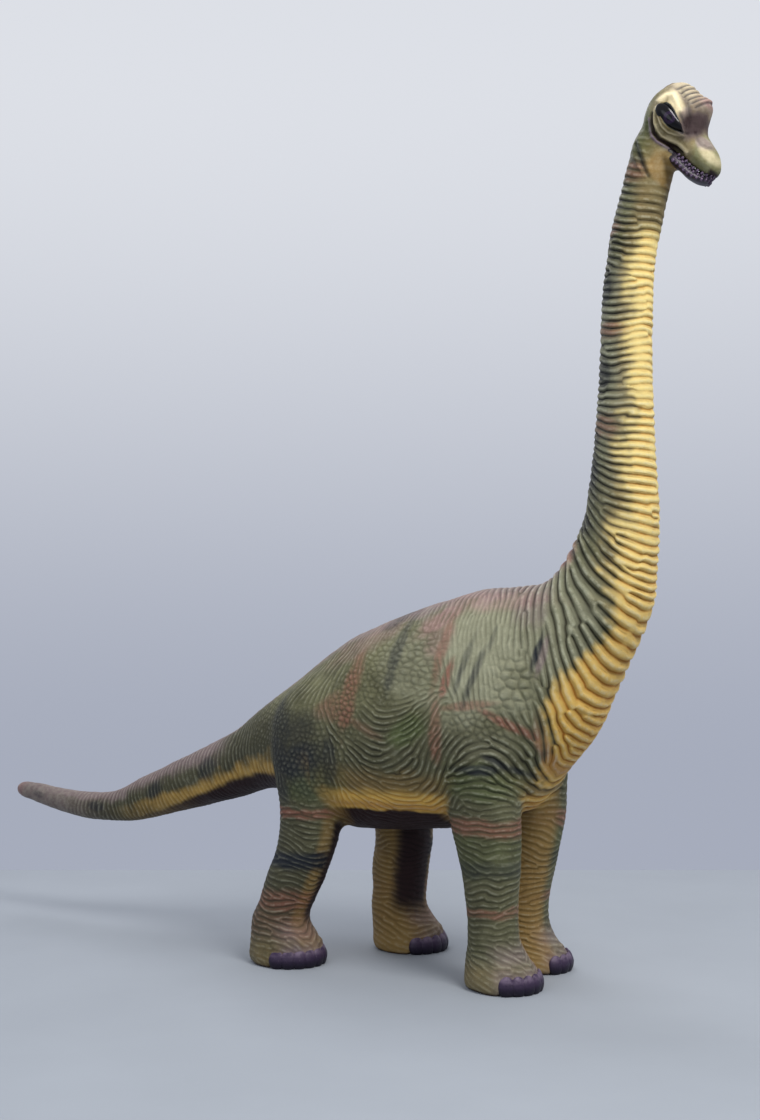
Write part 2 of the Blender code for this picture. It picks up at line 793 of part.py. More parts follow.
def build_head(paints):
    head = upper_head("head", 0.0, paints["mauve"])
    cut(head, eye_of("socket_right", -1, GAP), eye_of("socket_left", 1, GAP))
    eye_of("eye_right", -1, 0.0, paints["eye"])
    eye_of("eye_left", 1, 0.0, paints["eye"])
    jaw = tube("jaw", spaced(JAW, JAW_RINGS), JAW_SIDES, jaw_point, paints["jaw"])
    fuse(jaw, [tooth(index) for index in range(TEETH)])
    cut(jaw, upper_head("grown_head", 1.5 * GAP), grown_neck())


def grown_neck():
    """The top of the neck under the head's cut, swollen by one gap, which the jaw is cut clear of."""
    rings = folded(NECK_UPPER_AT, HEAD_AT, NECK_PITCH, NECK_FOLD)
    return tube("grown_neck", rings, NECK_SIDES, place_grown)


def main():
    clear_scene()
    paints = {
        "green": finish("green_hide", GREEN_HIDE, HIDE_ROUGHNESS),
        "ochre": finish("ochre_hide", OCHRE_HIDE, HIDE_ROUGHNESS),
        "mauve": finish("mauve_hide", MAUVE_HIDE, HIDE_ROUGHNESS),
        "tail": finish("tail_hide", TAIL_HIDE, HIDE_ROUGHNESS),
        "nail": finish("nail_purple", NAIL_PURPLE, NAIL_ROUGHNESS),
        "jaw": finish("jaw_purple", JAW_PURPLE, NAIL_ROUGHNESS),
        "eye": finish("eye_black", EYE_BLACK, EYE_ROUGHNESS),
    }
    build_trunk(paints)
    build_head(paints)
    for name in LEG_LINES:
        build_leg(name, paints)


main()
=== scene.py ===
"""The painted looks of the long-necked dinosaur statue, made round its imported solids.

Everything is in metres. +X points the way the head faces, +Y is the statue's left and +Z is up.
Both flanks are alike, so a place on the hide is given as x and z, as seen from the statue's right.
"""

import math

import bmesh
import bpy
import numpy as np
from mathutils import Matrix, Vector, kdtree


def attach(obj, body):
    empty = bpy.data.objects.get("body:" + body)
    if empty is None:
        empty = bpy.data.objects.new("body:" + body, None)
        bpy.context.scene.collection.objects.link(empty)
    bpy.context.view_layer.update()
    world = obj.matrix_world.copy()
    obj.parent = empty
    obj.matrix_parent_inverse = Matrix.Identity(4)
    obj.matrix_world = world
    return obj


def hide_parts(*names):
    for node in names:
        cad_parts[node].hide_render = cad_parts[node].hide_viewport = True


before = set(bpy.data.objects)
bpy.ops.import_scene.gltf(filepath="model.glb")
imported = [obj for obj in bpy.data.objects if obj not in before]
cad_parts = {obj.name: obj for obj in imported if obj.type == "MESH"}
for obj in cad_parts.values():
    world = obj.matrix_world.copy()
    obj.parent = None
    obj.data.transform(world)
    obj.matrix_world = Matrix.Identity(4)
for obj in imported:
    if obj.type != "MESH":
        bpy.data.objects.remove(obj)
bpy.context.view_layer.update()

# Trunk from the tail's tip to the top of the neck. Each row gives the middle of one slice (x, z), the
# slice's lean from upright in degrees, its half depth from belly to back and its half width.
TRUNK = (
    (-1.213, 0.409, -8, 0.006, 0.006),
    (-1.207, 0.408, -8, 0.015, 0.015),
    (-1.190, 0.406, -8, 0.024, 0.023),
    (-1.150, 0.401, -8, 0.030, 0.028),
    (-1.030, 0.383, -7, 0.037, 0.036),
    (-0.900, 0.371, -1, 0.043, 0.042),
    (-0.774, 0.378, 10, 0.050, 0.049),
    (-0.650, 0.415, 17, 0.067, 0.064),
    (-0.532, 0.455, 19, 0.077, 0.075),
    (-0.410, 0.496, 21, 0.087, 0.087),
    (-0.300, 0.5365, 24, 0.0965, 0.100),
    (-0.226, 0.567, 25, 0.106, 0.115),
    (-0.153, 0.594, 20, 0.130, 0.140),
    (-0.081, 0.610, 15, 0.161, 0.172),
    (-0.010, 0.624, 10, 0.198, 0.204),
    (0.065, 0.6365, 6, 0.2445, 0.227),
    (0.130, 0.654, 3, 0.275, 0.240),
    (0.200, 0.671, 1, 0.292, 0.246),
    (0.320, 0.698, 0, 0.311, 0.250),
    (0.440, 0.723, 0, 0.323, 0.246),
    (0.560, 0.751, 2, 0.323, 0.235),
    (0.656, 0.776, 6, 0.304, 0.217),
    (0.722, 0.828, 12, 0.258, 0.196),
    (0.788, 0.885, 20, 0.215, 0.173),
    (0.836, 0.957, 29, 0.172, 0.150),
    (0.882, 1.032, 38, 0.150, 0.133),
    (0.919, 1.112, 46, 0.137, 0.121),
    (0.939, 1.207, 55, 0.115, 0.108),
    (0.946, 1.299, 65, 0.102, 0.097),
    (0.949, 1.392, 74, 0.089, 0.087),
    (0.950, 1.467, 81, 0.080, 0.079),
    (0.951, 1.572, 87, 0.073, 0.072),
    (0.952, 1.682, 90, 0.069, 0.068),
    (0.953, 1.792, 87, 0.068, 0.067),
    (0.962, 1.912, 82, 0.065, 0.064),
    (0.980, 2.022, 79, 0.063, 0.062),
    (1.003, 2.112, 76, 0.061, 0.061),
    (1.018, 2.172, 76, 0.061, 0.061),
    (1.036, 2.250, 76, 0.054, 0.056),
    (1.048, 2.305, 76, 0.030, 0.034),
)
# How much wider the lower half of a slice is than its upper half, where the body is deep
BARREL_SAG = 0.12
SLIM_DEPTH = 0.12
BARREL_DEPTH = 0.28
# Distances along the trunk from the tail's tip
RUMP_AT = 1.13
LOIN_AT = 1.42
SHOULDER_AT = 1.80
NECK_AT = 2.33
NECK_TOP = 3.55

# Legs from the sole up: height, half length and half width of the front and hind pairs
FRONT_GIRTH = (
    (0.000, 0.099, 0.092),
    (0.014, 0.106, 0.098),
    (0.035, 0.104, 0.096),
    (0.068, 0.090, 0.085),
    (0.110, 0.075, 0.073),
    (0.170, 0.070, 0.069),
    (0.260, 0.076, 0.074),
    (0.350, 0.086, 0.081),
    (0.430, 0.096, 0.088),
    (0.520, 0.105, 0.095),
    (0.610, 0.118, 0.100),
    (0.680, 0.118, 0.092),
    (0.730, 0.095, 0.070),
    (0.770, 0.045, 0.035),
)
HIND_GIRTH = (
    (0.000, 0.102, 0.095),
    (0.014, 0.111, 0.101),
    (0.045, 0.110, 0.099),
    (0.080, 0.098, 0.091),
    (0.115, 0.086, 0.083),
    (0.160, 0.081, 0.079),
    (0.240, 0.085, 0.082),
    (0.330, 0.086, 0.085),
    (0.400, 0.089, 0.088),
    (0.470, 0.099, 0.094),
    (0.540, 0.120, 0.101),
    (0.620, 0.145, 0.103),
    (0.700, 0.150, 0.098),
    (0.770, 0.122, 0.080),
    (0.830, 0.060, 0.040),
)
# Legs' middle lines from the sole up: height, x and distance from the middle plane
LEG_LINES = {
    "front_right": (
        (0.000, 0.651, 0.125),
        (0.030, 0.650, 0.125),
        (0.068, 0.637, 0.125),
        (0.110, 0.626, 0.125),
        (0.200, 0.619, 0.125),
        (0.330, 0.612, 0.126),
        (0.450, 0.600, 0.128),
        (0.620, 0.592, 0.132),
        (0.760, 0.590, 0.125),
    ),
    "front_left": (
        (0.000, 0.634, 0.125),
        (0.030, 0.630, 0.125),
        (0.068, 0.614, 0.125),
        (0.110, 0.603, 0.125),
        (0.200, 0.601, 0.125),
        (0.330, 0.616, 0.126),
        (0.450, 0.622, 0.128),
        (0.620, 0.604, 0.132),
        (0.760, 0.592, 0.125),
    ),
    "hind_right": (
        (0.000, -0.016, 0.165),
        (0.045, -0.018, 0.165),
        (0.080, -0.028, 0.165),
        (0.115, -0.038, 0.165),
        (0.190, -0.012, 0.164),
        (0.260, 0.016, 0.162),
        (0.330, 0.045, 0.160),
        (0.430, 0.064, 0.157),
        (0.560, 0.066, 0.148),
        (0.830, 0.095, 0.120),
    ),
    "hind_left": (
        (0.000, 0.206, 0.165),
        (0.045, 0.202, 0.165),
        (0.080, 0.188, 0.165),
        (0.115, 0.171, 0.165),
        (0.190, 0.171, 0.164),
        (0.260, 0.177, 0.162),
        (0.330, 0.188, 0.160),
        (0.430, 0.184, 0.157),
        (0.560, 0.138, 0.148),
        (0.830, 0.105, 0.120),
    ),
}
# Head: a point of the skull, and the dip of the line from it to the snout
SKULL = np.array((1.038, 0.0, 2.293))
SNOUT_DIP = math.radians(48)
FORWARD = np.array((math.cos(SNOUT_DIP), 0.0, -math.sin(SNOUT_DIP)))
CROWNWARD = np.array((math.sin(SNOUT_DIP), 0.0, math.cos(SNOUT_DIP)))
# Distance along the snout line, underside, crown and half width of each slice of the upper head
HEAD = (
    (-0.049, 0.052, 0.076, 0.010),
    (-0.044, 0.024, 0.095, 0.034),
    (-0.030, -0.014, 0.113, 0.052),
    (-0.008, -0.032, 0.126, 0.064),
    (0.020, -0.032, 0.129, 0.070),
    (0.048, -0.028, 0.130, 0.070),
    (0.068, -0.020, 0.137, 0.064),
    (0.082, -0.016, 0.130, 0.058),
    (0.096, -0.012, 0.107, 0.053),
    (0.110, -0.009, 0.085, 0.050),
    (0.124, -0.008, 0.071, 0.049),
    (0.148, -0.009, 0.062, 0.050),
    (0.176, -0.008, 0.056, 0.050),
    (0.197, -0.004, 0.047, 0.046),
    (0.211, 0.001, 0.037, 0.037),
    (0.219, 0.008, 0.028, 0.023),
    (0.222, 0.015, 0.022, 0.009),
)
CROWN_NARROWING = 0.20
# Lower jaw: distance along the snout line, underside, lip line and half width
JAW = (
    (0.060, -0.060, -0.013, 0.044),
    (0.100, -0.051, -0.010, 0.046),
    (0.140, -0.043, -0.009, 0.045),
    (0.180, -0.041, -0.009, 0.044),
    (0.202, -0.034, -0.005, 0.038),
    (0.214, -0.026, 0.000, 0.027),
    (0.220, -0.018, 0.004, 0.014),
)
# Where the skin under the jaw starts and ends along the snout line
THROAT_END = (0.020, 0.142)
# Lie of the torso's folds. Each line gives the folds' pitch and height in millimetres, and then points
# (x, z) along one fold, run so that the next fold towards the head lies on its left.
FOLD_LINES = (
    (17, 1.2, ((-0.50, 0.53), (-0.49, 0.40))),
    (17, 1.3, ((-0.25, 0.65), (-0.22, 0.48))),
    (17, 1.4, ((-0.05, 0.74), (-0.07, 0.55))),
    (17, 1.5, ((0.11, 0.84), (0.03, 0.73))),
    (17, 2.5, ((0.13, 0.725), (0.155, 0.66), (0.19, 0.605), (0.20, 0.55), (0.20, 0.48))),
    (18, 2.6, ((0.20, 0.68), (0.262, 0.635), (0.332, 0.612), (0.395, 0.632), (0.46, 0.69), (0.505, 0.765))),
    (15, 2.0, ((0.28, 0.715), (0.312, 0.69), (0.35, 0.69), (0.405, 0.715), (0.47, 0.78))),
    (19, 2.8, ((0.205, 0.625), (0.25, 0.57), (0.32, 0.53), (0.385, 0.55), (0.455, 0.605), (0.495, 0.68))),
    (18, 2.4, ((0.215, 0.56), (0.255, 0.51), (0.32, 0.49), (0.395, 0.487), (0.475, 0.51))),
    (15, 1.8, ((0.45, 0.52), (0.48, 0.60), (0.50, 0.68), (0.515, 0.76))),
    (14, 0.9, ((0.26, 0.90), (0.26, 0.80))),
    (14, 0.9, ((0.42, 0.95), (0.42, 0.85))),
    (18, 1.0, ((0.525, 0.965), (0.54, 0.90), (0.56, 0.84), (0.575, 0.77))),
    (16, 1.2, ((0.565, 0.93), (0.58, 0.86), (0.60, 0.79))),
    (16, 1.2, ((0.61, 0.975), (0.625, 0.90), (0.66, 0.80))),
    (18, 1.6, ((0.68, 0.985), (0.69, 0.91), (0.725, 0.83), (0.74, 0.75))),
    (25, 4.5, ((0.73, 1.03), (0.75, 0.94), (0.785, 0.83), (0.80, 0.72), (0.80, 0.62))),
    (30, 7.0, ((0.75, 1.05), (0.775, 0.93), (0.81, 0.82), (0.835, 0.73), (0.87, 0.68))),
    (34, 9.0, ((0.77, 1.07), (0.795, 0.955), (0.83, 0.85), (0.865, 0.78), (0.905, 0.765))),
    (38, 10.0, ((0.79, 1.10), (0.82, 1.00), (0.87, 0.905), (0.90, 0.845), (0.93, 0.81))),
    (38, 10.0, ((0.83, 1.14), (0.87, 1.06), (0.915, 1.01), (0.965, 0.955), (1.00, 0.935))),
    (34, 9.0, ((0.85, 1.155), (0.895, 1.11), (0.955, 1.075), (1.03, 1.055))),
    (28, 7.0, ((0.79, 0.66), (0.765, 0.61), (0.74, 0.53))),
    (20, 5.0, ((0.53, 0.55), (0.56, 0.615), (0.62, 0.66), (0.69, 0.665), (0.745, 0.63), (0.765, 0.56))),
    (20, 5.0, ((0.54, 0.515), (0.565, 0.565), (0.61, 0.59), (0.66, 0.575), (0.72, 0.52))),
)
FOLD_REACH = 0.040
# Folds that ring the tail, the neck's nape and throat, and the legs: pitch and height
TAIL_FOLD = (0.016, 0.0013)
THROAT_FOLD = (0.0210, 0.0040)
NAPE_FOLD = (0.0198, 0.0046)
LEG_FOLD = (0.0165, 0.0019)
# Where the shoulder is smoother, with finer folds: x, z, half length, half height and tilt in degrees
CALM_SHOULDER = (0.690, 0.950, 0.170, 0.160, 20)
# How far the folds stray from their lie, and how much their pitch varies
STRAY = 0.34
PITCH_STRAY = 0.20
# How far each fold's crest hangs towards its lower crease
OVERHANG = 0.32

# Pebbled patches of the torso: x, z, half length, half height, then the pebbles' width, height and lift
PEBBLE_PATCHES = (
    (0.080, 0.600, 0.100, 0.120, 0.017, 0.015, 0.0036),
    (-0.060, 0.690, 0.110, 0.070, 0.015, 0.014, 0.0024),
    (0.220, 0.760, 0.050, 0.110, 0.017, 0.015, 0.0046),
    (0.330, 0.850, 0.070, 0.100, 0.020, 0.014, 0.0036),
    (0.430, 0.875, 0.070, 0.085, 0.028, 0.017, 0.0040),
    (0.610, 0.715, 0.085, 0.045, 0.020, 0.018, 0.0042),
    (0.705, 0.815, 0.050, 0.066, 0.030, 0.027, 0.0070),
)

# Painted spots of the torso: paint, x, z, half length, half height, tilt in degrees, and strength
SPOTS = (
    # The pale spots on the shoulder and flank are partly the statue's own paint and partly painted light
    ("pale", 0.620, 0.890, 0.130, 0.170, 10, 0.85),
    ("pale", 0.420, 0.870, 0.100, 0.090, 0, 0.45),
    ("pale", 0.800, 1.000, 0.120, 0.170, 30, 0.60),
    ("pale", 0.640, 0.660, 0.080, 0.050, 0, 0.30),
    ("rust", 0.226, 0.785, 0.024, 0.095, 3, 0.62),
    ("rust", 0.180, 0.745, 0.055, 0.030, -15, 0.42),
    ("rust", 0.500, 0.900, 0.014, 0.090, 4, 0.50),
    ("rust", 0.528, 0.832, 0.012, 0.045, 12, 0.85),
    ("rust", 0.505, 0.690, 0.014, 0.080, 0, 0.55),
    ("rust", 0.590, 0.762, 0.070, 0.010, -6, 0.55),
    ("rust", 0.700, 0.715, 0.075, 0.012, 28, 0.80),
    ("rust", 0.775, 0.630, 0.014, 0.080, 0, 0.50),
    ("rust", 0.290, 0.690, 0.055, 0.012, 25, 0.25),
    ("pink", 0.470, 0.990, 0.075, 0.024, -35, 0.60),
    ("pink", 0.600, 1.040, 0.160, 0.025, 0, 0.45),
    ("pink", 0.240, 0.930, 0.120, 0.030, -30, 0.35),
    ("pink", 0.480, 0.940, 0.035, 0.050, 0, 0.35),
    ("ink", 0.355, 0.900, 0.016, 0.110, 4, 0.50),
    ("ink", 0.300, 0.985, 0.045, 0.020, -40, 0.55),
    ("ink", 0.070, 0.590, 0.085, 0.055, -20, 0.72),
    ("ink", 0.120, 0.520, 0.060, 0.040, 20, 0.35),
    ("ink", 0.000, 0.570, 0.030, 0.110, -10, 0.60),
    ("ink", 0.170, 0.580, 0.024, 0.070, 0, 0.55),
    ("ink", 0.000, 0.690, 0.040, 0.080, -35, 0.50),
    ("ink", 0.070, 0.680, 0.060, 0.045, 0, 0.40),
    ("ink", 0.575, 0.880, 0.009, 0.065, 12, 0.55),
    ("ink", 0.605, 0.840, 0.010, 0.060, 16, 0.65),
    ("ink", 0.640, 0.940, 0.006, 0.030, 4, 0.45),
    ("ink", 0.770, 0.905, 0.009, 0.050, 14, 0.85),
    ("ink", 0.620, 0.592, 0.070, 0.013, 0, 0.75),
    ("ink", 0.690, 0.600, 0.060, 0.010, 30, 0.75),
    ("mauve", 0.785, 0.900, 0.010, 0.050, 12, 0.70),
    ("mauve", 0.730, 1.030, 0.050, 0.050, -20, 0.50),
    ("leaf", 0.420, 0.690, 0.060, 0.030, -35, 0.60),
    ("leaf", 0.130, 0.520, 0.080, 0.050, 0, 0.40),
    ("leaf", 0.620, 0.560, 0.090, 0.050, 0, 0.40),
)
# Dark spots on the tail's sides: the x of each, then their turn from under the tail, half sizes and tilt
TAIL_SPOTS_AT = (-1.10, -0.84, -0.58, -0.36)
TAIL_SPOT = (98, 0.030, 20, 0)
# Where the chest turns yellow: height, and the x past which it is yellow
CHEST_EDGE = (
    (0.54, 0.735),
    (0.66, 0.790),
    (0.755, 0.800),
    (0.815, 0.820),
    (0.86, 0.850),
    (0.90, 0.900),
    (0.975, 0.955),
    (1.05, 0.955),
)
# Line of the cream brow in the head's own directions: along the snout line and crownward
BROW_CREAM = ((-0.010, 0.050), (-0.006, 0.070), (0.006, 0.082), (0.030, 0.074), (0.052, 0.064))
# Painted spots of the neck: paint, distance along it, turn from the throat, half sizes and strength
NECK_SPOTS = (
    ("rust", 3.415, 115, 0.024, 35, 0.60),
    ("rust", 3.270, 140, 0.018, 30, 0.70),
    ("rust", 3.006, 120, 0.020, 40, 0.65),
    ("rust", 2.751, 120, 0.028, 35, 0.60),
    ("rust", 2.320, 165, 0.050, 28, 0.75),
    ("ink", 3.120, 140, 0.045, 32, 0.80),
    ("ink", 2.886, 130, 0.038, 35, 0.75),
    ("ink", 2.700, 155, 0.040, 25, 0.70),
    ("ink", 2.610, 148, 0.060, 28, 0.80),
    ("ink", 2.440, 150, 0.035, 30, 0.70),
)
# Painted bands of the legs: pair, paint, height, half height and strength
LEG_BANDS = (
    ("front", "rust", 0.435, 0.022, 0.62),
    ("front", "ink", 0.320, 0.022, 0.45),
    ("front", "leaf", 0.360, 0.060, 0.25),
    ("front", "rust", 0.208, 0.013, 0.55),
    ("hind", "rust", 0.440, 0.012, 0.70),
    ("hind", "ink", 0.305, 0.024, 0.90),
    ("hind", "rust", 0.190, 0.028, 0.55),
    ("hind", "rust", 0.120, 0.040, 0.30),
)
# The paints, four to each layer that the hide keeps them in
PAINT_LAYERS = {
    "paint_warm": ("yellow", "ochre", "rust", "pink"),
    "paint_cool": ("ink", "mauve", "maroon", "lilac"),
    "paint_more": ("leaf", "pale", "cream", "deep"),
}

# Marks of the head's sides, in millimetres: lift, width, then points along the snout line and crownward
HEAD_MARKS = {
    "brow": (5.5, 9.5, ((-10, 45), (-8, 66), (4, 79), (30, 73), (60, 64))),
    "brow_end": (3.0, 6.0, ((60, 64), (84, 52), (102, 40))),
    "brow_groove": (-4.5, 5.0, ((3, 103), (29, 96), (56, 87), (80, 70), (104, 36))),
    "lower_lid": (3.0, 4.0, ((20, 18), (46, 8), (66, 8), (83, 15), (103, 27))),
    "lid_bag": (-2.5, 4.0, ((16, 14), (30, 4), (48, -1), (66, 0), (104, 20))),
    "cheek": (4.0, 5.0, ((-2, 30), (6, 14), (24, 0), (57, -10), (100, 6), (140, 6))),
    "mouth_slit": (-6.5, 4.2, ((0, 12), (16, -6), (34, -18), (56, -20), (100, -8), (122, -6))),
    "mouth_lip": (4.0, 3.8, ((2, -2), (20, -17), (40, -28), (58, -29), (100, -19), (120, -15))),
    "mouth_fold": (-3.0, 5.0, ((0, -14), (16, -28), (34, -38))),
    "upper_lip": (2.5, 5.0, ((130, -4), (150, -5), (178, -4), (200, 1), (214, 8))),
    "nostril_rim": (3.0, 7.0, ((134, 52), (150, 53), (164, 50))),
    "nostril": (-2.8, 3.6, ((118, 52), (134, 42), (150, 40), (166, 43), (174, 50))),
    "upper_neck_fold": (4.0, 7.0, ((11, -56), (45, -66), (72, -78), (105, -95))),
    "upper_neck_crease": (-4.5, 5.0, ((12, -70), (45, -80), (75, -92), (109, -104))),
    "lower_neck_fold": (3.5, 6.0, ((18, -88), (50, -96), (85, -108))),
    "lower_neck_crease": (-4.0, 5.0, ((16, -104), (50, -112), (83, -122))),
}
# Ridges across the forehead: where each dark groove between them lies, and how deep and wide it is
FOREHEAD_GROOVES = (0.001, 0.017, 0.033, 0.049, 0.064, 0.080)
GROOVE_DEPTH = 0.0036
GROOVE_WIDTH = 0.0042
# Eye: its middle and half sizes in the head's own directions, and the opening between its lids
EYE_ALONG = 0.044
EYE_UP = 0.036
EYE_OUT = 0.0655
EYE_HALF = (0.047, 0.013, 0.019)
EYE_FORWARD_TURN = math.radians(8)
UPPER_LID = (
    (0.006, 0.044),
    (0.012, 0.0515),
    (0.026, 0.0545),
    (0.044, 0.0515),
    (0.065, 0.0445),
    (0.082, 0.0370),
    (0.095, 0.0315),
)
LOWER_LID = (
    (0.006, 0.044),
    (0.016, 0.034),
    (0.030, 0.0255),
    (0.046, 0.0205),
    (0.061, 0.0205),
    (0.075, 0.0245),
    (0.095, 0.0315),
)
SOCKET_DEPTH = 0.014
SOCKET_EDGE = 0.004
LID_LIFT = 0.0055
LID_WIDTH = 0.0055

# Nails: how many a front and a hind foot have, and how far outward the middle of their row is turned,
# then the angle from one to the next, the half sizes of one, its middle's height and how far in it sits
NAIL_ROWS = {"front": (6, math.radians(15)), "hind": (8, math.radians(12))}
NAIL_SPREAD = math.radians(18.5)
NAIL_HALF = (0.0105, 0.0212, 0.029)
NAIL_MIDDLE = 0.023
NAIL_INSET = 0.0064
# How much fuller a nail is at its middle, and how much thinner and further in at its top
NAIL_BULGE = 0.10
NAIL_THINNING = 0.22
NAIL_LEAN = 0.003

# Size of the hide's first facets, which are halved once, again on the head and again round the eyes
FACET = 0.006
# Balls inside which the facets are halved again: along the snout line, sideways, crownward and radius
FINER_BALLS = (
    (0.080, 0.000, 0.030, 0.165),
    (0.050, -0.068, 0.036, 0.052),
    (0.050, 0.068, 0.036, 0.052),
)
# Corners along and round each tube of the smooth skin
TRUNK_GRID = (520, 80)
LEG_GRID = (120, 48)
SKULL_GRID = (90, 72)
THROAT_GRID = (40, 48)
JAW_GRID = (110, 72)
# How wide the soft hollows are where the legs and the nape meet the trunk, how many rounds of
# smoothing they take, and the heights over which they are looked for
LEG_HOLLOW = 0.022
LEG_ROUNDS = 60
ANKLE_HEIGHT = 0.2
NAPE_HOLLOW = 0.008
NAPE_ROUNDS = 8
NAPE_HEIGHT = 2.0
# How far the soles stay above the floor
SOLE_GAP = 0.0004
SEED = 11


def ease(value):
    """Nought below nought, one above one, and a soft step between."""
    value = np.clip(value, 0.0, 1.0)
    return value * value * (3 - 2 * value)


def bell(value):
    """One at nought, and soft towards nought on either side."""
    return np.exp(-value * value)


def slopes(rows, column):
    """The slope of one column at every row, as a smooth curve through the rows has it."""
    steps = []
    for low, high in zip(rows, rows[1:]):
        steps.append((high[0] - low[0], (high[column] - low[column]) / (high[0] - low[0])))
    inner = []
    for (run_a, rise_a), (run_b, rise_b) in zip(steps, steps[1:]):
        inner.append((rise_a * run_b + rise_b * run_a) / (run_a + run_b))
    return [steps[0][1], *inner, steps[-1][1]]


def fine(rows, count=500):
    """A table's rows on a smooth curve through them, at evenly spaced places from first to last."""
    places = np.linspace(rows[0][0], rows[-1][0], count)
    starts = [row[0] for row in rows]
    index = np.clip(np.searchsorted(starts, places, side="right") - 1, 0, len(rows) - 2)
    table = [places]
    for column in range(1, len(rows[0])):
        value = np.array([row[column] for row in rows])
        slope = np.array(slopes(rows, column))
        low = np.array(starts)[index]
        run = np.array(starts)[index + 1] - low
        part = (places - low) / run
        table.append(
            value[index] * (1 + 2 * part) * (1 - part) ** 2
            + slope[index] * run * part * (1 - part) ** 2
            + value[index + 1] * part**2 * (3 - 2 * part)
            + slope[index + 1] * run * part**2 * (part - 1)
        )
    return np.column_stack(table)


def at(table, places):
    """All the columns of a fine table but the first, at the places."""
    return [np.interp(places, table[:, 0], table[:, column]) for column in range(1, table.shape[1])]


def with_distance(rows):
    """The trunk's rows, each led by its distance along the middle line from the tail's tip."""
    distance = 0.0
    led = []
    before = rows[0]
    for row in rows:
        distance += math.hypot(row[0] - before[0], row[1] - before[1])
        led.append((distance, *row))
        before = row
    return led


LINE = fine(with_distance(TRUNK), 900)
GIRTHS = {"front": fine(FRONT_GIRTH), "hind": fine(HIND_GIRTH)}
LEG_MIDDLES = {name: fine(rows) for name, rows in LEG_LINES.items()}
HEAD_SLICES = fine(HEAD)
JAW_SLICES = fine(JAW)


def slice_at(distance):
    """Middle x and z, lean, half depth, half width and sag of the trunk's slice at a distance."""
    x, z, lean, half_depth, half_width = at(LINE, distance)
    sag = BARREL_SAG * ease((half_depth - SLIM_DEPTH) / (BARREL_DEPTH - SLIM_DEPTH))
    return x, z, np.radians(lean), half_depth, half_width, sag


def trunk_skin(distance, turn):
    """Points of the trunk's smooth skin, with the turn starting under the belly."""
    x, z, lean, half_depth, half_width, sag = slice_at(distance)
    backward = -np.cos(turn) * half_depth
    sideways = np.sin(turn) * half_width * (1 + sag * np.cos(turn))
    return np.column_stack((x - np.sin(lean) * backward, sideways, z + np.cos(lean) * backward))


def leg_slice(name, height):
    """A leg's side (-1 is the right), and its half length, half width, x and way out at a height."""
    side = -1 if name.endswith("right") else 1
    return (side, *at(GIRTHS[name.split("_")[0]], height), *at(LEG_MIDDLES[name], height))


def leg_skin(name):
    """Gives the points of one leg's smooth skin, with the turn starting at its front."""

    def place(height, turn):
        side, half_length, half_width, x, out = leg_slice(name, height)
        return np.column_stack((
            x + np.cos(turn) * half_length,
            side * out + np.sin(turn) * half_width,
            height,
        ))

    return place


def skull_skin(along, turn):
    """Points of the upper head's smooth skin, with the turn starting under it."""
    under, crown, half_width = at(HEAD_SLICES, along)
    up = (crown + under) / 2 - np.cos(turn) * (crown - under) / 2
    sideways = np.sin(turn) * half_width * (1 + CROWN_NARROWING * np.cos(turn))
    return in_head(along, sideways, up)


def throat_skin(along, turn):
    """Points of the skin behind the lower jaw, which the jaw's lip comes out of."""
    under, lip, half_width = at(JAW_SLICES, np.maximum(along, JAW[0][0]))
    taper = np.sqrt(np.clip((THROAT_END[1] - along) / 0.03, 0.01, 1.0))
    up = (lip + under) / 2 - 0.006 - np.cos(turn) * (lip - under) / 2 * taper
    return in_head(along, np.sin(turn) * (half_width + 0.002) * taper, up)


def in_head(along, sideways, up):
    """Points given in the head's own directions."""
    points = SKULL + np.outer(along, FORWARD) + np.outer(up, CROWNWARD)
    points[:, 1] += sideways
    return points


def add_work(shell, work):
    """Adds one mesh that is being worked on to another, and frees it."""
    part = bpy.data.meshes.new("part")
    work.to_mesh(part)
    work.free()
    shell.from_mesh(part)
    bpy.data.meshes.remove(part)


def add_tube(shell, first, last, grid, place):
    """Adds a closed tube to the shell: a grid rolled up, and placed by the place along it and the turn."""
    work = bmesh.new()
    bmesh.ops.create_grid(work, x_segments=grid[0], y_segments=grid[1], size=0.5)
    flat = np.array([corner.co for corner in work.verts]) + 0.5
    skin = place(first + (last - first) * flat[:, 0], flat[:, 1] * math.tau)
    for corner, spot in zip(work.verts, skin):
        corner.co = spot
    bmesh.ops.remove_doubles(work, verts=work.verts, dist=0.00001)
    bmesh.ops.holes_fill(work, edges=work.edges, sides=0)
    work.normal_update()
    bmesh.ops.recalc_face_normals(work, faces=work.faces)
    add_work(shell, work)


def new_object(name, work):
    """An object whose mesh is the one that is being worked on, which is freed."""
    mesh = bpy.data.meshes.new(name)
    work.to_mesh(mesh)
    work.free()
    mesh.shade_smooth()
    body = bpy.data.objects.new(name, mesh)
    bpy.context.scene.collection.objects.link(body)
    return body


def settle(body):
    """Makes what the body's modifiers show its own mesh."""
    graph = bpy.context.evaluated_depsgraph_get()
    made = bpy.data.meshes.new_from_object(body.evaluated_get(graph))
    body.modifiers.clear()
    body.data = made
    made.shade_smooth()


def numbers_of(items, key, width, kind=np.float64):
    """One property of all the items of a mesh, with a row for each item."""
    values = np.empty(len(items) * width, dtype=kind)
    items.foreach_get(key, values)
    return values.reshape(-1, width)


def corners_of(mesh):
    return numbers_of(mesh.vertices, "co", 3)


def normals_of(mesh):
    return numbers_of(mesh.vertex_normals, "vector", 3)


def edges_of(mesh):
    return numbers_of(mesh.edges, "vertices", 2, np.int64)


def set_corners(mesh, points):
    mesh.vertices.foreach_set("co", points.ravel())
    mesh.update()


def spread_of(points, edges):
    """The patch of skin that each corner stands for, from the lengths of its edges."""
    length = np.sum((points[edges[:, 0]] - points[edges[:, 1]]) ** 2, axis=1)
    count = len(points)
    total = np.bincount(edges[:, 0], length, count) + np.bincount(edges[:, 1], length, count)
    return total / np.bincount(edges.ravel(), minlength=count)


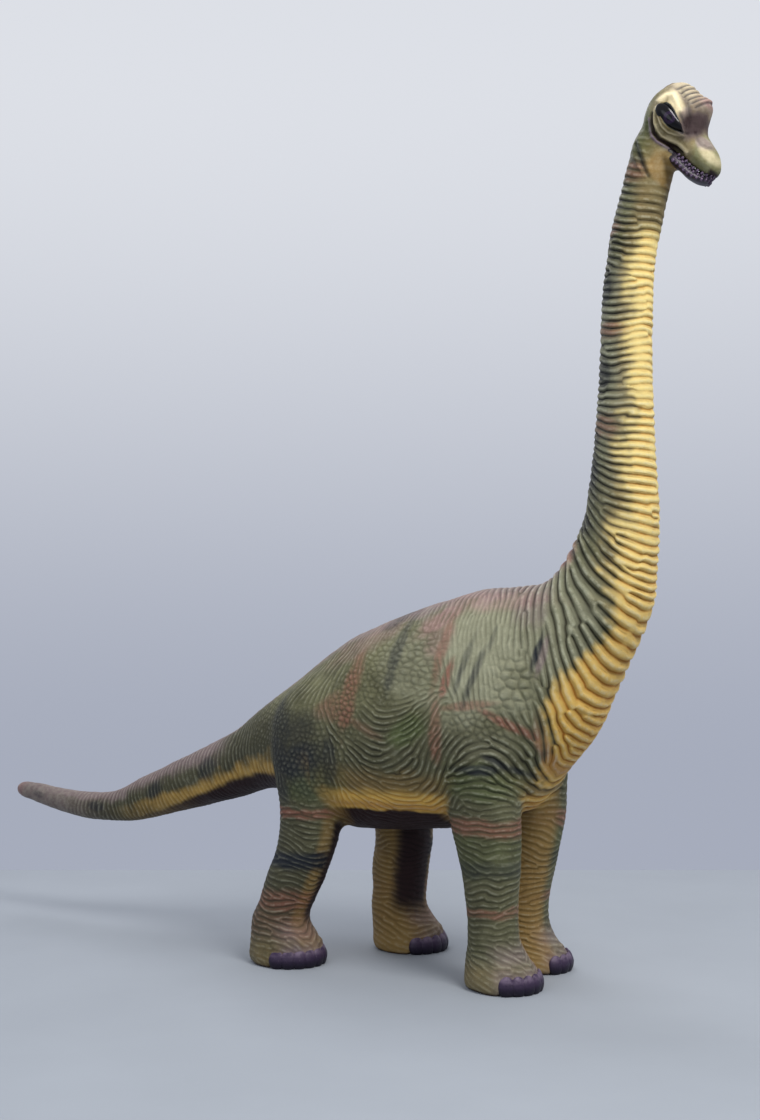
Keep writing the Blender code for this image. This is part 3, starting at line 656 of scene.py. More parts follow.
def evened(values, edges, weight, rounds):
    """Moves every corner's values towards the mean of its neighbours, by its weight, round after round."""
    values = values.copy()
    first, second = edges[:, 0], edges[:, 1]
    count = len(values)
    links = np.bincount(edges.ravel(), minlength=count)
    for _ in range(rounds):
        for column in range(values.shape[1]):
            here = values[:, column]
            total = np.bincount(first, here[second], count) + np.bincount(second, here[first], count)
            values[:, column] = here + weight * (total / links - here)
    return values


def trunk_reading(points):
    """Each point's distance along the trunk, turn from the belly and height over the skin."""
    distance = np.empty(len(points))
    x, z, lean = LINE[:, 1], LINE[:, 2], np.radians(LINE[:, 3])
    for part in np.array_split(np.arange(len(points)), max(1, len(points) // 6000)):
        ahead = (points[part, 0, None] - x) * np.cos(lean) + (points[part, 2, None] - z) * np.sin(lean)
        beyond = np.clip(np.argmax(ahead < 0, axis=1), 1, len(x) - 1)
        beyond[np.all(ahead >= 0, axis=1)] = len(x) - 1
        rows = np.arange(len(part))
        before, after = ahead[rows, beyond - 1], ahead[rows, beyond]
        share = np.clip(before / np.maximum(before - after, 1e-9), 0.0, 1.0)
        distance[part] = LINE[beyond - 1, 0] + share * (LINE[beyond, 0] - LINE[beyond - 1, 0])
    x, z, lean, half_depth, half_width, sag = slice_at(distance)
    backward = (points[:, 2] - z) * np.cos(lean) - (points[:, 0] - x) * np.sin(lean)
    belly = -backward / half_depth
    side = points[:, 1] / half_width
    turn = np.arctan2(side, belly)
    for _ in range(3):
        turn = np.arctan2(side / (1 + sag * np.cos(turn)), belly)
    reach = np.hypot(side / (1 + sag * np.cos(turn)), belly)
    radius = np.hypot(points[:, 1], backward) / np.maximum(reach, 1e-6)
    return distance, np.abs(turn), (reach - 1) * radius


def leg_reading(name, points):
    """Each point's turn from the leg's front, as seen from outside, and height over the skin."""
    side, half_length, half_width, x, out = leg_slice(name, points[:, 2])
    along = (points[:, 0] - x) / half_length
    outward = (points[:, 1] * side - out) / half_width
    reach = np.hypot(along, outward)
    radius = np.hypot(points[:, 0] - x, points[:, 1] * side - out) / np.maximum(reach, 1e-6)
    return np.arctan2(outward, along), (reach - 1) * radius


def head_reading(points):
    """Each point's place in the head's own directions, turn and height over the upper head's skin."""
    offset = points - SKULL
    along, up = offset @ FORWARD, offset @ CROWNWARD
    under, crown, half_width = at(HEAD_SLICES, along)
    lower = ((crown + under) / 2 - up) / ((crown - under) / 2)
    side = points[:, 1] / half_width
    turn = np.arctan2(side, lower)
    reach = np.hypot(side / (1 + CROWN_NARROWING * np.cos(turn)), lower)
    past = np.maximum(along - HEAD[-1][0], 0) + np.maximum(HEAD[0][0] - along, 0)
    return along, up, turn, (reach - 1) * half_width + past


def base_hide():
    """Trunk, legs and upper head fused into one smooth skin of even facets, finer on the head."""
    shell = bmesh.new()
    add_tube(shell, 0.0, NECK_TOP, TRUNK_GRID, trunk_skin)
    for name in LEG_LINES:
        top = (FRONT_GIRTH if name.startswith("front") else HIND_GIRTH)[-1][0]
        add_tube(shell, 0.0, top, LEG_GRID, leg_skin(name))
    add_tube(shell, HEAD[0][0], HEAD[-1][0], SKULL_GRID, skull_skin)
    add_tube(shell, *THROAT_END, THROAT_GRID, throat_skin)
    hide = new_object("hide", shell)
    fuse = hide.modifiers.new("fuse", "REMESH")
    fuse.mode = "VOXEL"
    fuse.voxel_size = FACET
    settle(hide)
    soften_joins(hide.data)
    halve = hide.modifiers.new("halve", "SUBSURF")
    halve.levels = 1
    halve.render_levels = 1
    settle(hide)
    refine_head(hide.data)
    return hide


def soften_joins(mesh):
    """Rounds the hollows where legs and head meet the trunk, and smooths the steps of the fused skin."""
    points = corners_of(mesh)
    edges = edges_of(mesh)
    lift = trunk_reading(points)[2]
    hollow = np.zeros(len(points))
    for name in LEG_LINES:
        leg_lift = leg_reading(name, points)[1]
        hollow = np.maximum(hollow, bell(lift / LEG_HOLLOW) * bell(leg_lift / LEG_HOLLOW))
    hollow[points[:, 2] < ANKLE_HEIGHT] = 0.0
    head_lift = head_reading(points)[3]
    nape = bell(lift / NAPE_HOLLOW) * bell(head_lift / NAPE_HOLLOW) * (points[:, 2] > NAPE_HEIGHT)
    points = evened(points, edges, 0.6 * np.clip(hollow * 1.4, 0, 1), LEG_ROUNDS)
    points = evened(points, edges, 0.6 * np.clip(nape * 1.4, 0, 1), NAPE_ROUNDS)
    for _ in range(3):
        points = evened(points, edges, 0.5, 1)
        points = evened(points, edges, -0.53, 1)
    set_corners(mesh, points)


def refine_head(mesh):
    """Halves the facets once more on the head, and again round each eye."""
    work = bmesh.new()
    work.from_mesh(mesh)
    for along, out, up, radius in FINER_BALLS:
        middle = Vector(in_head(along, out, up)[0])
        near = [edge for edge in work.edges if (edge.verts[0].co - middle).length < radius]
        bmesh.ops.subdivide_edges(work, edges=near, cuts=1, use_grid_fill=True)
    work.to_mesh(mesh)
    work.free()
    mesh.shade_smooth()


class Lattice:
    """Soft noise between minus one and one, from a lattice of seeded random numbers."""

    SIZE = 32

    def __init__(self, seed):
        self.numbers = np.random.default_rng(seed).uniform(-1, 1, (self.SIZE,) * 3)

    def __call__(self, points, size):
        place = points / size
        cell = np.floor(place).astype(np.int64)
        part = place - cell
        part = part * part * (3 - 2 * part)
        total = np.zeros(len(points))
        for dx in (0, 1):
            for dy in (0, 1):
                for dz in (0, 1):
                    corner = (cell + (dx, dy, dz)) % self.SIZE
                    share = np.where(dx, part[:, 0], 1 - part[:, 0])
                    share = share * np.where(dy, part[:, 1], 1 - part[:, 1])
                    share = share * np.where(dz, part[:, 2], 1 - part[:, 2])
                    total += share * self.numbers[corner[:, 0], corner[:, 1], corner[:, 2]]
        return total


NOISE = Lattice(SEED)


def from_segment(x, z, start, end):
    """The distance of each place from one straight piece of a line."""
    run = np.subtract(end, start)
    part = np.clip(((x - start[0]) * run[0] + (z - start[1]) * run[1]) / (run @ run), 0.0, 1.0)
    return np.hypot(x - start[0] - part * run[0], z - start[1] - part * run[1])


def from_path(x, z, path):
    return np.min([from_segment(x, z, start, end) for start, end in zip(path, path[1:])], axis=0)


def from_mark(along, up, mark):
    """How far points of the head's side are from one of its marks."""
    return from_path(along, up, [(ahead / 1000, high / 1000) for ahead, high in HEAD_MARKS[mark][2]])


def lie_of_folds(x, z):
    """Direction across the torso's folds in the side view, with their pitch and height."""
    total = np.zeros(len(x))
    across_x, across_z = np.zeros(len(x)), np.zeros(len(x))
    pitch, height = np.zeros(len(x)), np.zeros(len(x))
    for fold_pitch, fold_height, path in FOLD_LINES:
        for start, end in zip(path, path[1:]):
            share = (from_segment(x, z, start, end) ** 2 + FOLD_REACH**2) ** -1.75
            run = np.subtract(end, start) / np.hypot(*np.subtract(end, start))
            across_x -= share * run[1]
            across_z += share * run[0]
            pitch += share * fold_pitch / 1000
            height += share * fold_height / 1000
            total += share
    return across_x, across_z, pitch / total, height / total


# How many patches with a wave of their own lie in a square as wide as the folds' pitch, and how many
# times each is shifted
PATCHES_PER_PITCH = 1.3
ROUNDS_OF_AGREEMENT = 160


def point_tree(points):
    """A search tree over the points."""
    tree = kdtree.KDTree(len(points))
    for index, spot in enumerate(points):
        tree.insert(spot, index)
    tree.balance()
    return tree


def agreed_phases(centre, reach, pull, phase):
    """Shifts the wave of every patch, round after round, until it agrees with its neighbours' waves."""
    tree = point_tree(centre)
    pairs = []
    for index, spot in enumerate(centre):
        for _, other, away in tree.find_range(spot, 1.7 * reach[index]):
            pairs.append((index, other, away))
    pairs = np.array(pairs)
    here, there = pairs[:, 0].astype(int), pairs[:, 1].astype(int)
    share = np.exp(-((pairs[:, 2] / (0.9 * reach[here])) ** 2))
    run = np.einsum("ij,ij->i", pull[there], centre[here] - centre[there])
    for _ in range(ROUNDS_OF_AGREEMENT):
        angle = phase[there] + run
        real = np.bincount(here, share * np.cos(angle), len(phase))
        imaginary = np.bincount(here, share * np.sin(angle), len(phase))
        phase = np.arctan2(imaginary, real)
    return phase


def waves(points, across, pitch, spread, key):
    """Ripples that run across the given directions, merging and parting as folds of skin do.

    Every patch of skin gets a small wave of its own, which is shifted until it agrees with its
    neighbours. Gives the cosine and sine of the ripples' phase, and how well the waves agree.
    """
    rng = np.random.default_rng(SEED)
    seeds = np.flatnonzero(rng.random(len(points)) < PATCHES_PER_PITCH * spread / pitch**2)
    seeds = seeds[np.argsort(key[seeds])]
    centre, reach = points[seeds], pitch[seeds]
    pull = across[seeds] * (math.tau / reach)[:, None]
    phase = agreed_phases(centre, reach, pull, rng.uniform(0, math.tau, len(seeds)))

    tree = point_tree(points)
    real, imaginary, total = np.zeros(len(points)), np.zeros(len(points)), np.zeros(len(points))
    for index, spot in enumerate(centre):
        found = tree.find_range(spot, 1.6 * reach[index])
        near = np.array([other for _, other, _ in found])
        away = points[near] - spot
        share = np.exp(-np.einsum("ij,ij->i", away, away) / (0.75 * reach[index]) ** 2)
        angle = phase[index] + away @ pull[index]
        real[near] += share * np.cos(angle)
        imaginary[near] += share * np.sin(angle)
        total[near] += share
    strength = np.hypot(real, imaginary)
    safe = np.maximum(strength, 1e-9)
    return real / safe, imaginary / safe, strength / np.maximum(total, 1e-6)


def pebbles(x, z, width, height):
    """Pebbles in staggered rows: one on top of each pebble, nought in the cracks between them."""
    row = z / height
    column = x / width
    nearest = np.full(len(x), 9.0)
    second = np.full(len(x), 9.0)
    numbers = np.random.default_rng(SEED + 1).uniform(-0.33, 0.33, (2, 64, 64))
    for down in (-1, 0, 1):
        cell_z = np.floor(row) + down
        shift = 0.5 * (cell_z % 2)
        for side in (-1, 0, 1):
            cell_x = np.floor(column - shift) + side
            wobble = numbers[:, cell_x.astype(int) % 64, cell_z.astype(int) % 64]
            away = np.hypot(column - cell_x - shift - 0.5 - wobble[0], row - cell_z - 0.5 - wobble[1])
            second = np.minimum(second, np.maximum(nearest, away))
            nearest = np.minimum(nearest, away)
    return np.sqrt(np.clip((second - nearest) / 0.5, 0.0, 1.0)) * (1 - 0.35 * nearest)


def in_spot(x, z, spot, noise):
    """How much of a painted spot lies at each place, with an uneven edge."""
    middle_x, middle_z, half_length, half_height, tilt = spot
    turn = math.radians(tilt)
    along = ((x - middle_x) * math.cos(turn) - (z - middle_z) * math.sin(turn)) / half_length
    up = ((x - middle_x) * math.sin(turn) + (z - middle_z) * math.cos(turn)) / half_height
    return ease(1.6 - np.hypot(along, up) + 0.45 * noise)


class Hide:
    """Everything that is read off the hide's corners, and the relief and paints worked out from it."""

    def __init__(self, body):
        mesh = body.data
        self.body = body
        self.points = corners_of(mesh)
        self.normals = normals_of(mesh)
        self.edges = edges_of(mesh)
        self.distance, self.turn, self.trunk_lift = trunk_reading(self.points)
        self.along, self.up, self.head_turn, head_lift = head_reading(self.points)
        self.on_head = ease(0.5 + (self.trunk_lift - np.abs(head_lift)) / 0.016)
        self.on_head[self.distance < 3.2] = 0.0
        below = ease((self.distance - 3.33) / 0.05) * ease((self.up + 0.12) / 0.03)
        self.near_head = np.maximum(self.on_head, below * (self.distance > 3.2))
        self.x, self.z = self.points[:, 0], self.points[:, 2]
        self.read_legs()
        self.off_leg = 1 - self.on_leg
        self.on_neck = ease((self.distance - 2.30) / 0.12) * self.off_leg
        self.on_tail = ease((1.02 - self.distance) / 0.12) * self.off_leg
        # Noise that makes the paints' edges uneven
        self.blur = 0.6 * NOISE(self.points, 0.045) + 0.4 * NOISE(self.points + 7.0, 0.018)
        self.paint = {name: np.zeros(len(self.x)) for names in PAINT_LAYERS.values() for name in names}

    def read_legs(self):
        """How much each corner belongs to a leg, to which, and at what turn round it."""
        names = list(LEG_LINES)
        readings = [leg_reading(name, self.points) for name in names]
        lifts = np.abs([lift for _, lift in readings])
        self.leg = np.argmin(lifts, axis=0)
        rows = np.arange(len(self.x))
        self.leg_turn = np.array([turn for turn, _ in readings])[self.leg, rows]
        self.on_leg = ease((self.trunk_lift + 0.012) / 0.04) * ease((0.045 - lifts.min(axis=0)) / 0.03)
        self.on_leg *= self.points[:, 2] < 0.80
        self.front = np.isin(self.leg, [names.index("front_right"), names.index("front_left")])

    def fold_lie(self):
        """Unit directions across the folds, and the folds' pitch and height, all over the hide."""
        across_x, across_z, pitch, height = lie_of_folds(self.x, self.z)
        length = np.hypot(across_x, across_z)
        across = np.column_stack((across_x / length, np.zeros(len(length)), across_z / length))
        upward = ease((self.on_leg - 0.2) / 0.6) * ease((0.56 - self.z) / 0.10)
        pitch, height = self.fold_sizes(pitch, height, upward)
        return self.fold_directions(across, upward), pitch, height

    def fold_directions(self, across, upward):
        """Turns the directions along the trunk on neck and tail and up the legs, and lets them stray."""
        lean = np.radians(np.interp(self.distance, LINE[:, 0], LINE[:, 3]))
        onward = np.column_stack((np.cos(lean), np.zeros(len(lean)), np.sin(lean)))
        slim = np.maximum(self.on_neck, self.on_tail)[:, None]
        across = across * (1 - slim) + onward * slim
        across = across * (1 - upward[:, None]) + np.array((0.0, 0.0, 1.0)) * upward[:, None]
        neck_tilt = 0.36 * ease((self.turn - 1.2) / 1.1) - 0.14
        across[:, 0] += 0.15 * (1 - self.on_neck) + neck_tilt * self.on_neck
        forequarter = ease((self.x - 0.60) / 0.10) * ease((self.z - 0.66) / 0.06)
        stray = STRAY * (1 - 0.80 * forequarter) + 0.20 * self.on_leg
        for axis in range(3):
            across[:, axis] += stray * NOISE(self.points + 1.7 * axis, 0.055)
        across -= np.einsum("ij,ij->i", across, self.normals)[:, None] * self.normals
        across /= np.maximum(np.linalg.norm(across, axis=1), 1e-6)[:, None]
        return across

    def fold_sizes(self, pitch, height, upward):
        """Changes the torso's pitch and height into those of neck, tail and legs, and calms them."""
        throat = ease((1.9 - self.turn) / 1.2)
        swell = ease((2.9 - self.distance) / 0.5)
        neck_pitch = NAPE_FOLD[0] + (THROAT_FOLD[0] + 0.003 * swell - NAPE_FOLD[0]) * throat
        neck_height = NAPE_FOLD[1] + (THROAT_FOLD[1] + 0.0035 * swell - NAPE_FOLD[1]) * throat
        neck_height = neck_height * (1 - 0.85 * ease((self.distance - 3.375 + 0.045 * throat) / 0.08))
        pitch = pitch * (1 - self.on_neck) + neck_pitch * self.on_neck
        height = height * (1 - self.on_neck) + neck_height * self.on_neck
        pitch = pitch * (1 - self.on_tail) + TAIL_FOLD[0] * self.on_tail
        tail_height = TAIL_FOLD[1] * ease((self.distance - 0.15) / 0.4)
        height = height * (1 - self.on_tail) + tail_height * self.on_tail
        pitch = pitch * (1 - upward) + LEG_FOLD[0] * upward
        foot = 1 - 0.75 * ease((0.085 - self.z) / 0.05)
        height = height * (1 - upward) + LEG_FOLD[1] * foot * upward
        height *= 1 - self.on_head
        underside = ease((0.9 - self.turn) / 0.5) * (self.distance > RUMP_AT) * (self.distance < 1.9)
        height *= 1 - 0.6 * underside * self.off_leg
        calm = in_spot(self.x, self.z, CALM_SHOULDER, 0.0)
        height *= 1 - 0.50 * calm
        pitch *= 1 - 0.25 * calm
        pitch *= 1 + PITCH_STRAY * NOISE(self.points, 0.09) * (1 - 0.5 * self.on_neck)
        return pitch, height

    def make_relief(self):
        """Folds, pebbles and the head's features, as a lift of each corner and marks for the paint."""
        across, pitch, height = self.fold_lie()
        key = self.distance + self.z * 0.3
        wave, swing, agree = waves(self.points, across, pitch, spread_of(self.points, self.edges), key)
        phase = np.arctan2(swing, wave)
        phase = phase + OVERHANG * np.cos(phase)
        self.wave, self.swing = np.cos(phase), np.sin(phase)
        rolled = (0.5 + 0.5 * self.wave) ** 0.5
        uneven = 0.80 + 0.75 * NOISE(self.points, 0.048)
        height = height * np.clip(uneven, 0.1, 1.5) * ease(agree / 0.5)
        minor = bell((np.abs(self.wave) - 0.05) / 0.28) * ease(NOISE(self.points + 5.0, 0.03) / 0.5 + 0.3)
        pebbly = self.make_pebbles()
        smooth = 1 - pebbly
        self.fold_depth = np.clip(height / 0.0042, 0, 1) * smooth * (1 - 0.40 * self.on_leg)
        lift = (rolled - 0.68 - 0.16 * minor) * height * smooth + self.pebble_lift
        lift += 0.0010 * NOISE(self.points, 0.022) + 0.0022 * NOISE(self.points + 3.0, 0.075)
        lift += self.make_toes()
        lift += self.make_head()
        folded = np.clip(height / 0.0009, 0, 1)
        self.crest = (1 - (1 - rolled) * folded) * smooth + self.pebble_crest * pebbly
        self.lift = lift

    def make_pebbles(self):
        """Patches of pebbles. Gives how pebbly each corner is."""
        count = len(self.x)
        pebbly, lift, crest = np.zeros(count), np.zeros(count), np.ones(count)
        noise = NOISE(self.points, 0.03)
        on_torso = (1 - self.on_neck) * (1 - self.on_tail)
        for x, z, half_length, half_height, width, height, rise in PEBBLE_PATCHES:
            share = in_spot(self.x, self.z, (x, z, half_length, half_height, 0), noise) * on_torso
            bump = pebbles(self.x + 0.004 * noise, self.z + 0.08 * self.x, width, height)
            lift = lift * (1 - share) + (bump - 0.5) * rise * share
            crest = crest * (1 - share) + bump * share
            pebbly = np.maximum(pebbly, share)
        self.pebble_lift, self.pebble_crest = lift, crest
        return pebbly

    def make_toes(self):
        """Bulges of the toes at the front of each foot."""
        count, middle = (np.where(self.front, *row) for row in zip(NAIL_ROWS["front"], NAIL_ROWS["hind"]))
        self.toe_turn = self.leg_turn - middle
        between = 0.5 + 0.5 * np.cos((self.toe_turn / NAIL_SPREAD + count / 2) * math.tau)
        near_front = ease((count / 2 + 0.8 - np.abs(self.toe_turn) / NAIL_SPREAD) / 0.8)
        low = ease((0.075 - self.z) / 0.04) * self.on_leg
        pad = bell((self.z - 0.062) / 0.007) * (1 - between) * near_front * self.on_leg
        return 0.0035 * pad - 0.004 * between**2 * near_front * low

    def make_head(self):
        """Brow, lids, cheek folds, lips, nostrils and forehead ridges, as a lift of the head's skin."""
        lift = np.zeros(len(self.x))
        near = np.flatnonzero(self.distance > 3.25)
        along, up = self.along[near], self.up[near]
        side = np.abs(np.sin(self.head_turn[near]))
        mark = np.zeros(len(near))
        for name, (rise, width, _) in HEAD_MARKS.items():
            mark += rise / 1000 * bell(from_mark(along, up, name) / (width / 1000)) * ease(side / 0.5)
        self.brow_groove = self.head_line(near, "brow_groove", 0.006)
        self.mouth_slit = self.head_line(near, "mouth_slit", 0.0050)
        self.mouth_lip = self.head_line(near, "mouth_lip", 0.0042)
        creases = [self.head_line(near, which + "_neck_crease", 0.0045) for which in ("upper", "lower")]
        self.neck_creases = np.maximum(*creases)
        self.forehead = np.zeros(len(self.x))
        over = ease((up - 0.088) / 0.012) * ease((0.102 - along) / 0.012)
        for groove in FOREHEAD_GROOVES:
            bent = along - groove + 0.008 * side
            self.forehead[near] = np.maximum(self.forehead[near], over * bell(bent / GROOVE_WIDTH))
        mark -= GROOVE_DEPTH * self.forehead[near]
        upper = np.interp(along, *zip(*UPPER_LID))
        lower = np.interp(along, *zip(*LOWER_LID))
        inside = np.minimum(upper - up, up - lower)
        outside = np.maximum(UPPER_LID[0][0] - along, along - UPPER_LID[-1][0])
        inside = np.where(outside > 0, -np.hypot(np.maximum(outside, 0), np.minimum(inside, 0)), inside)
        eye_side = ease((side - 0.5) / 0.3)
        mark += LID_LIFT * bell((inside + SOCKET_EDGE) / LID_WIDTH) * eye_side
        mark -= SOCKET_DEPTH * ease((inside + 0.001) / SOCKET_EDGE) * eye_side
        lift[near] = mark * ease(self.near_head[near] * 2)
        self.lid = np.full(len(self.x), -9.0)
        self.lid[near] = np.where(eye_side > 0.3, inside, -9.0)
        return lift

    def head_line(self, near, mark, width):
        """How near each corner is to one of the head's marks."""
        line = np.zeros(len(self.x))
        away = from_mark(self.along[near], self.up[near], mark)
        side = np.abs(np.sin(self.head_turn[near]))
        line[near] = bell(away / width) * ease(side / 0.5) * self.near_head[near]
        return line

    def add_paint(self, name, amount):
        self.paint[name] = np.maximum(self.paint[name], amount)

    def make_paints(self):
        """How much of each paint lies on every corner. Their order counts where paint is taken off."""
        self.paint_front()
        self.paint_underside()
        self.paint_back()
        self.paint_greens()
        self.paint_spots()
        self.paint_legs()
        self.paint_crown()
        self.paint_muzzle()
        self.paint_brow()
        self.paint_lines()

    def paint_front(self):
        """Yellow throat and chest, and ochre beside them up the neck."""
        x, z, turn, distance, blur = self.x, self.z, np.degrees(self.turn), self.distance, self.blur
        edge_x = np.interp(z, *zip(*CHEST_EDGE))
        chest = ease((x - edge_x) / 0.045 + 0.5 + 0.5 * blur) * (x > 0.7)
        neck = ease((68 - turn) / 60 + 0.5 + 0.50 * blur)
        mix = ease((z - 1.0) / 0.12)
        front = chest * (1 - mix) + neck * mix
        front = np.clip(front + (self.crest - 0.62) * 0.8 * front * (1 - front) * 4, 0, 1)
        self.add_paint("yellow", front * self.off_leg * (distance > 1.9) * ease((3.31 - distance) / 0.07))
        self.add_paint("ochre", ease((118 - turn) / 45 + 0.4 * blur) * self.on_neck * 0.45)

    def paint_underside(self):
        """Yellow and ochre belly and tail, edged with rust, with painted shade in maroon and ink
        underneath.
        """
        z, turn, distance, blur = self.z, np.degrees(self.turn), self.distance, self.blur
        torso = self.off_leg * (1 - self.on_neck) * (1 - self.on_tail)
        belly = ease((0.530 - z) / 0.030 + 0.3 * blur) * (distance > 1.3) * (distance < 2.2)
        self.add_paint("yellow", belly * torso)
        self.add_paint("ochre", ease((0.60 - z) / 0.07 + 0.3 * blur) * torso * (distance > 1.3) * 0.6)
        on_rump = distance < 1.36
        tail_belly = ease((90 - turn) / 22 + 0.6 * blur) * ease((distance - 0.40) / 0.40) * on_rump
        self.add_paint("yellow", tail_belly * self.off_leg * 0.55)
        self.add_paint("ochre", tail_belly * self.off_leg * 0.7)
        # Painted shade under the rump and tail, laid in maroon and ink where the underside turns away from
        # the light
        wide = 42 + 24 * ease((distance - 0.55) / 0.35)
        under = ease((wide - turn) / 14 + 0.4 * blur) * on_rump * ease((distance - 0.35) / 0.5)
        self.add_paint("rust", bell((z - 0.474 + 0.006 * blur) / 0.010) * torso * (distance > 1.3) * 0.5)
        # Painted shade in maroon under the belly, and with it the painted shade under the rump and tail
        below = ease((0.466 - z) / 0.010 + 0.5 * blur) * (distance >= 1.30) * (distance < 1.98)
        self.add_paint("maroon", np.maximum(under, below) * self.off_leg)
        self.add_paint("ink", under * self.off_leg * 0.5)

    def paint_back(self):
        """Mauve back and tail, with a pink tip, and ink in spots on the tail and in the neck's creases."""
        x, turn, distance, blur = self.x, np.degrees(self.turn), self.distance, self.blur
        back = ease((turn - 143) / 22 + 0.35 * blur)
        tail_back = ease((turn - 98) / 34 + 0.45 * blur)
        slim = self.on_tail
        mauve = (back * (1 - slim) + tail_back * slim) * self.off_leg * (distance < 2.35) * 0.8
        self.add_paint("mauve", mauve)
        self.add_paint("mauve", ease((0.50 - distance) / 0.4) * 0.7)
        self.add_paint("ink", ease((0.50 - distance) / 0.4) * 0.20)
        self.add_paint("pink", ease((0.06 - distance) / 0.05) * 0.6)
        for spot_x in TAIL_SPOTS_AT:
            self.add_paint("ink", in_spot(x, turn, (spot_x, *TAIL_SPOT), blur) * self.on_tail * 0.55)
        creases = ease((turn - 70) / 30) * self.on_neck * np.clip(0.66 - self.crest, 0, 1)
        high = 0.55 + 0.45 * ease((distance - 2.45) / 0.4)
        self.add_paint("ink", creases * 1.15 * high * ease((3.40 - distance) / 0.05))

    def paint_greens(self):
        """Paler green up the neck, and deeper green low on the body, on the rump and on the legs, which is
        partly the statue's own paint and partly painted shade.
        """
        x, z, distance = self.x, self.z, self.distance
        self.add_paint("pale", ease((distance - 2.35) / 0.5) * ease((3.22 - distance) / 0.1) * 0.58)
        # The deeper green low on the body, on the rump and on the legs is partly the statue's own paint and
        # partly painted shade
        self.add_paint("deep", ease((0.74 - x) / 0.1) * ease((0.80 - z) / 0.14) * 0.6)
        self.add_paint("deep", ease((0.22 - x) / 0.16) * ease((0.78 - z) / 0.12))
        self.add_paint("deep", self.on_leg * 0.35)

    def paint_spots(self):
        """The spots of the body and of the neck."""
        above_knee = 1 - self.on_leg * ease((0.50 - self.z) / 0.06)
        for name, spot_x, spot_z, length, height, tilt, strength in SPOTS:
            share = in_spot(self.x, self.z, (spot_x, spot_z, length, height, tilt), self.blur)
            self.add_paint(name, share * strength * (1 - self.on_neck) * above_knee)
        turn = np.degrees(self.turn)
        for name, spot_at, spot_turn, length, width, strength in NECK_SPOTS:
            share = in_spot(self.distance, turn, (spot_at, spot_turn, length, width, 0), self.blur)
            self.add_paint(name, share * strength * self.off_leg)

    def paint_legs(self):
        """Rust and dark bands round the legs, their ochre inner sides and their dusty toes, with painted
        shade in maroon and ink on the hind legs and painted shadow round the soles.
        """
        leg, z = self.on_leg, self.z + 0.012 * self.blur
        outward, forward = np.sin(self.leg_turn), np.cos(self.leg_turn)
        for pair, name, height, half, strength in LEG_BANDS:
            of_pair = self.front if pair == "front" else ~self.front
            self.add_paint(name, ease(1.5 - np.abs(z - height) / half) * strength * leg * of_pair)
        inner = ease((-outward - 0.1) / 0.5) * leg
        self.add_paint("ochre", inner * 0.95)
        shin = ease((forward - 0.70) / 0.2) * ease((0.47 - self.z) / 0.05)
        self.add_paint("ochre", shin * leg * ~self.front * 0.65)
        for name in ("rust", "ink", "leaf"):
            self.paint[name] *= 1 - 0.85 * inner
        # Painted shade in maroon and ink on the front and inner sides of the hind legs
        shade = ease((forward - 0.05) / 0.5) * ease((0.30 - outward) / 0.4) * ease((self.z - 0.09) / 0.08)
        self.add_paint("maroon", shade * leg * ~self.front)
        self.add_paint("ink", shade * leg * ~self.front * 0.7)
        # Painted shade in maroon high on the hind legs' inner sides, under the belly
        self.add_paint("maroon", ease((self.z - 0.36) / 0.08) * inner * ~self.front * 0.92)
        self.add_paint("ochre", ease((0.10 - self.z) / 0.05) * leg * 0.30)
        self.add_paint("pale", ease((0.12 - self.z) / 0.05) * leg * 0.45)
        toes = ease((80 - np.abs(np.degrees(self.toe_turn))) / 45)
        self.add_paint("lilac", toes * ease((0.080 - self.z + 0.01 * self.blur) / 0.045) * leg * 0.7)
        self.add_paint("mauve", toes * bell((self.z - 0.095) / 0.03) * leg * 0.5)
        # Painted shadow in maroon round the bottom of each sole, where it meets the floor
        self.add_paint("maroon", ease((0.010 - self.z) / 0.008) * leg)

    def paint_crown(self):
        """Mauve crown with a dark patch before the eye, paler on top and greener behind the jaw."""
        head, along, up, blur = self.on_head, self.along, self.up, self.blur
        self.add_paint("mauve", ease((up - 0.06 + 0.015 * blur) / 0.04) * head * 0.55)
        face = in_spot(along, up, (0.100, 0.062, 0.028, 0.036, 0), blur)
        self.add_paint("mauve", face * head)
        self.add_paint("maroon", face * head * 0.92)
        self.add_paint("mauve", ease((0.04 - along) / 0.05) * ease((up - 0.085) / 0.02) * head * 0.45)
        self.add_paint("pale", ease((up - 0.05) / 0.05) * ease((0.05 - along) / 0.05) * head * 0.9)
        behind = in_spot(along, up, (0.000, -0.045, 0.060, 0.050, 0), blur) * self.near_head
        self.add_paint("leaf", behind * 0.35)

    def paint_muzzle(self):
        """Olive muzzle with mauve nostrils, a pink crest over it and ochre under the jaw."""
        head, near, along, up = self.on_head, self.near_head, self.along, self.up
        muzzle = ease((along - 0.135 + 0.5 * (up - 0.02)) / 0.03) * head
        self.add_paint("leaf", muzzle * 0.45)
        self.add_paint("pale", muzzle * 0.45)
        self.paint["mauve"] *= 1 - 0.8 * muzzle
        nostril = in_spot(along, up, (0.150, 0.048, 0.022, 0.012, 0), self.blur)
        self.add_paint("mauve", nostril * head * 0.8)
        crest = bell((along - 0.072) / 0.022) * ease((up - 0.108) / 0.015) * head
        self.add_paint("pink", crest * 0.75)
        under_jaw = ease((-0.01 - up) / 0.04) * ease((along - 0.054 + 0.3 * (up + 0.06)) / 0.035)
        self.add_paint("ochre", under_jaw * near * 0.95)
        self.add_paint("ochre", near * (1 - head) * 0.10)
        self.add_paint("deep", near * (1 - head) * (1 - under_jaw))

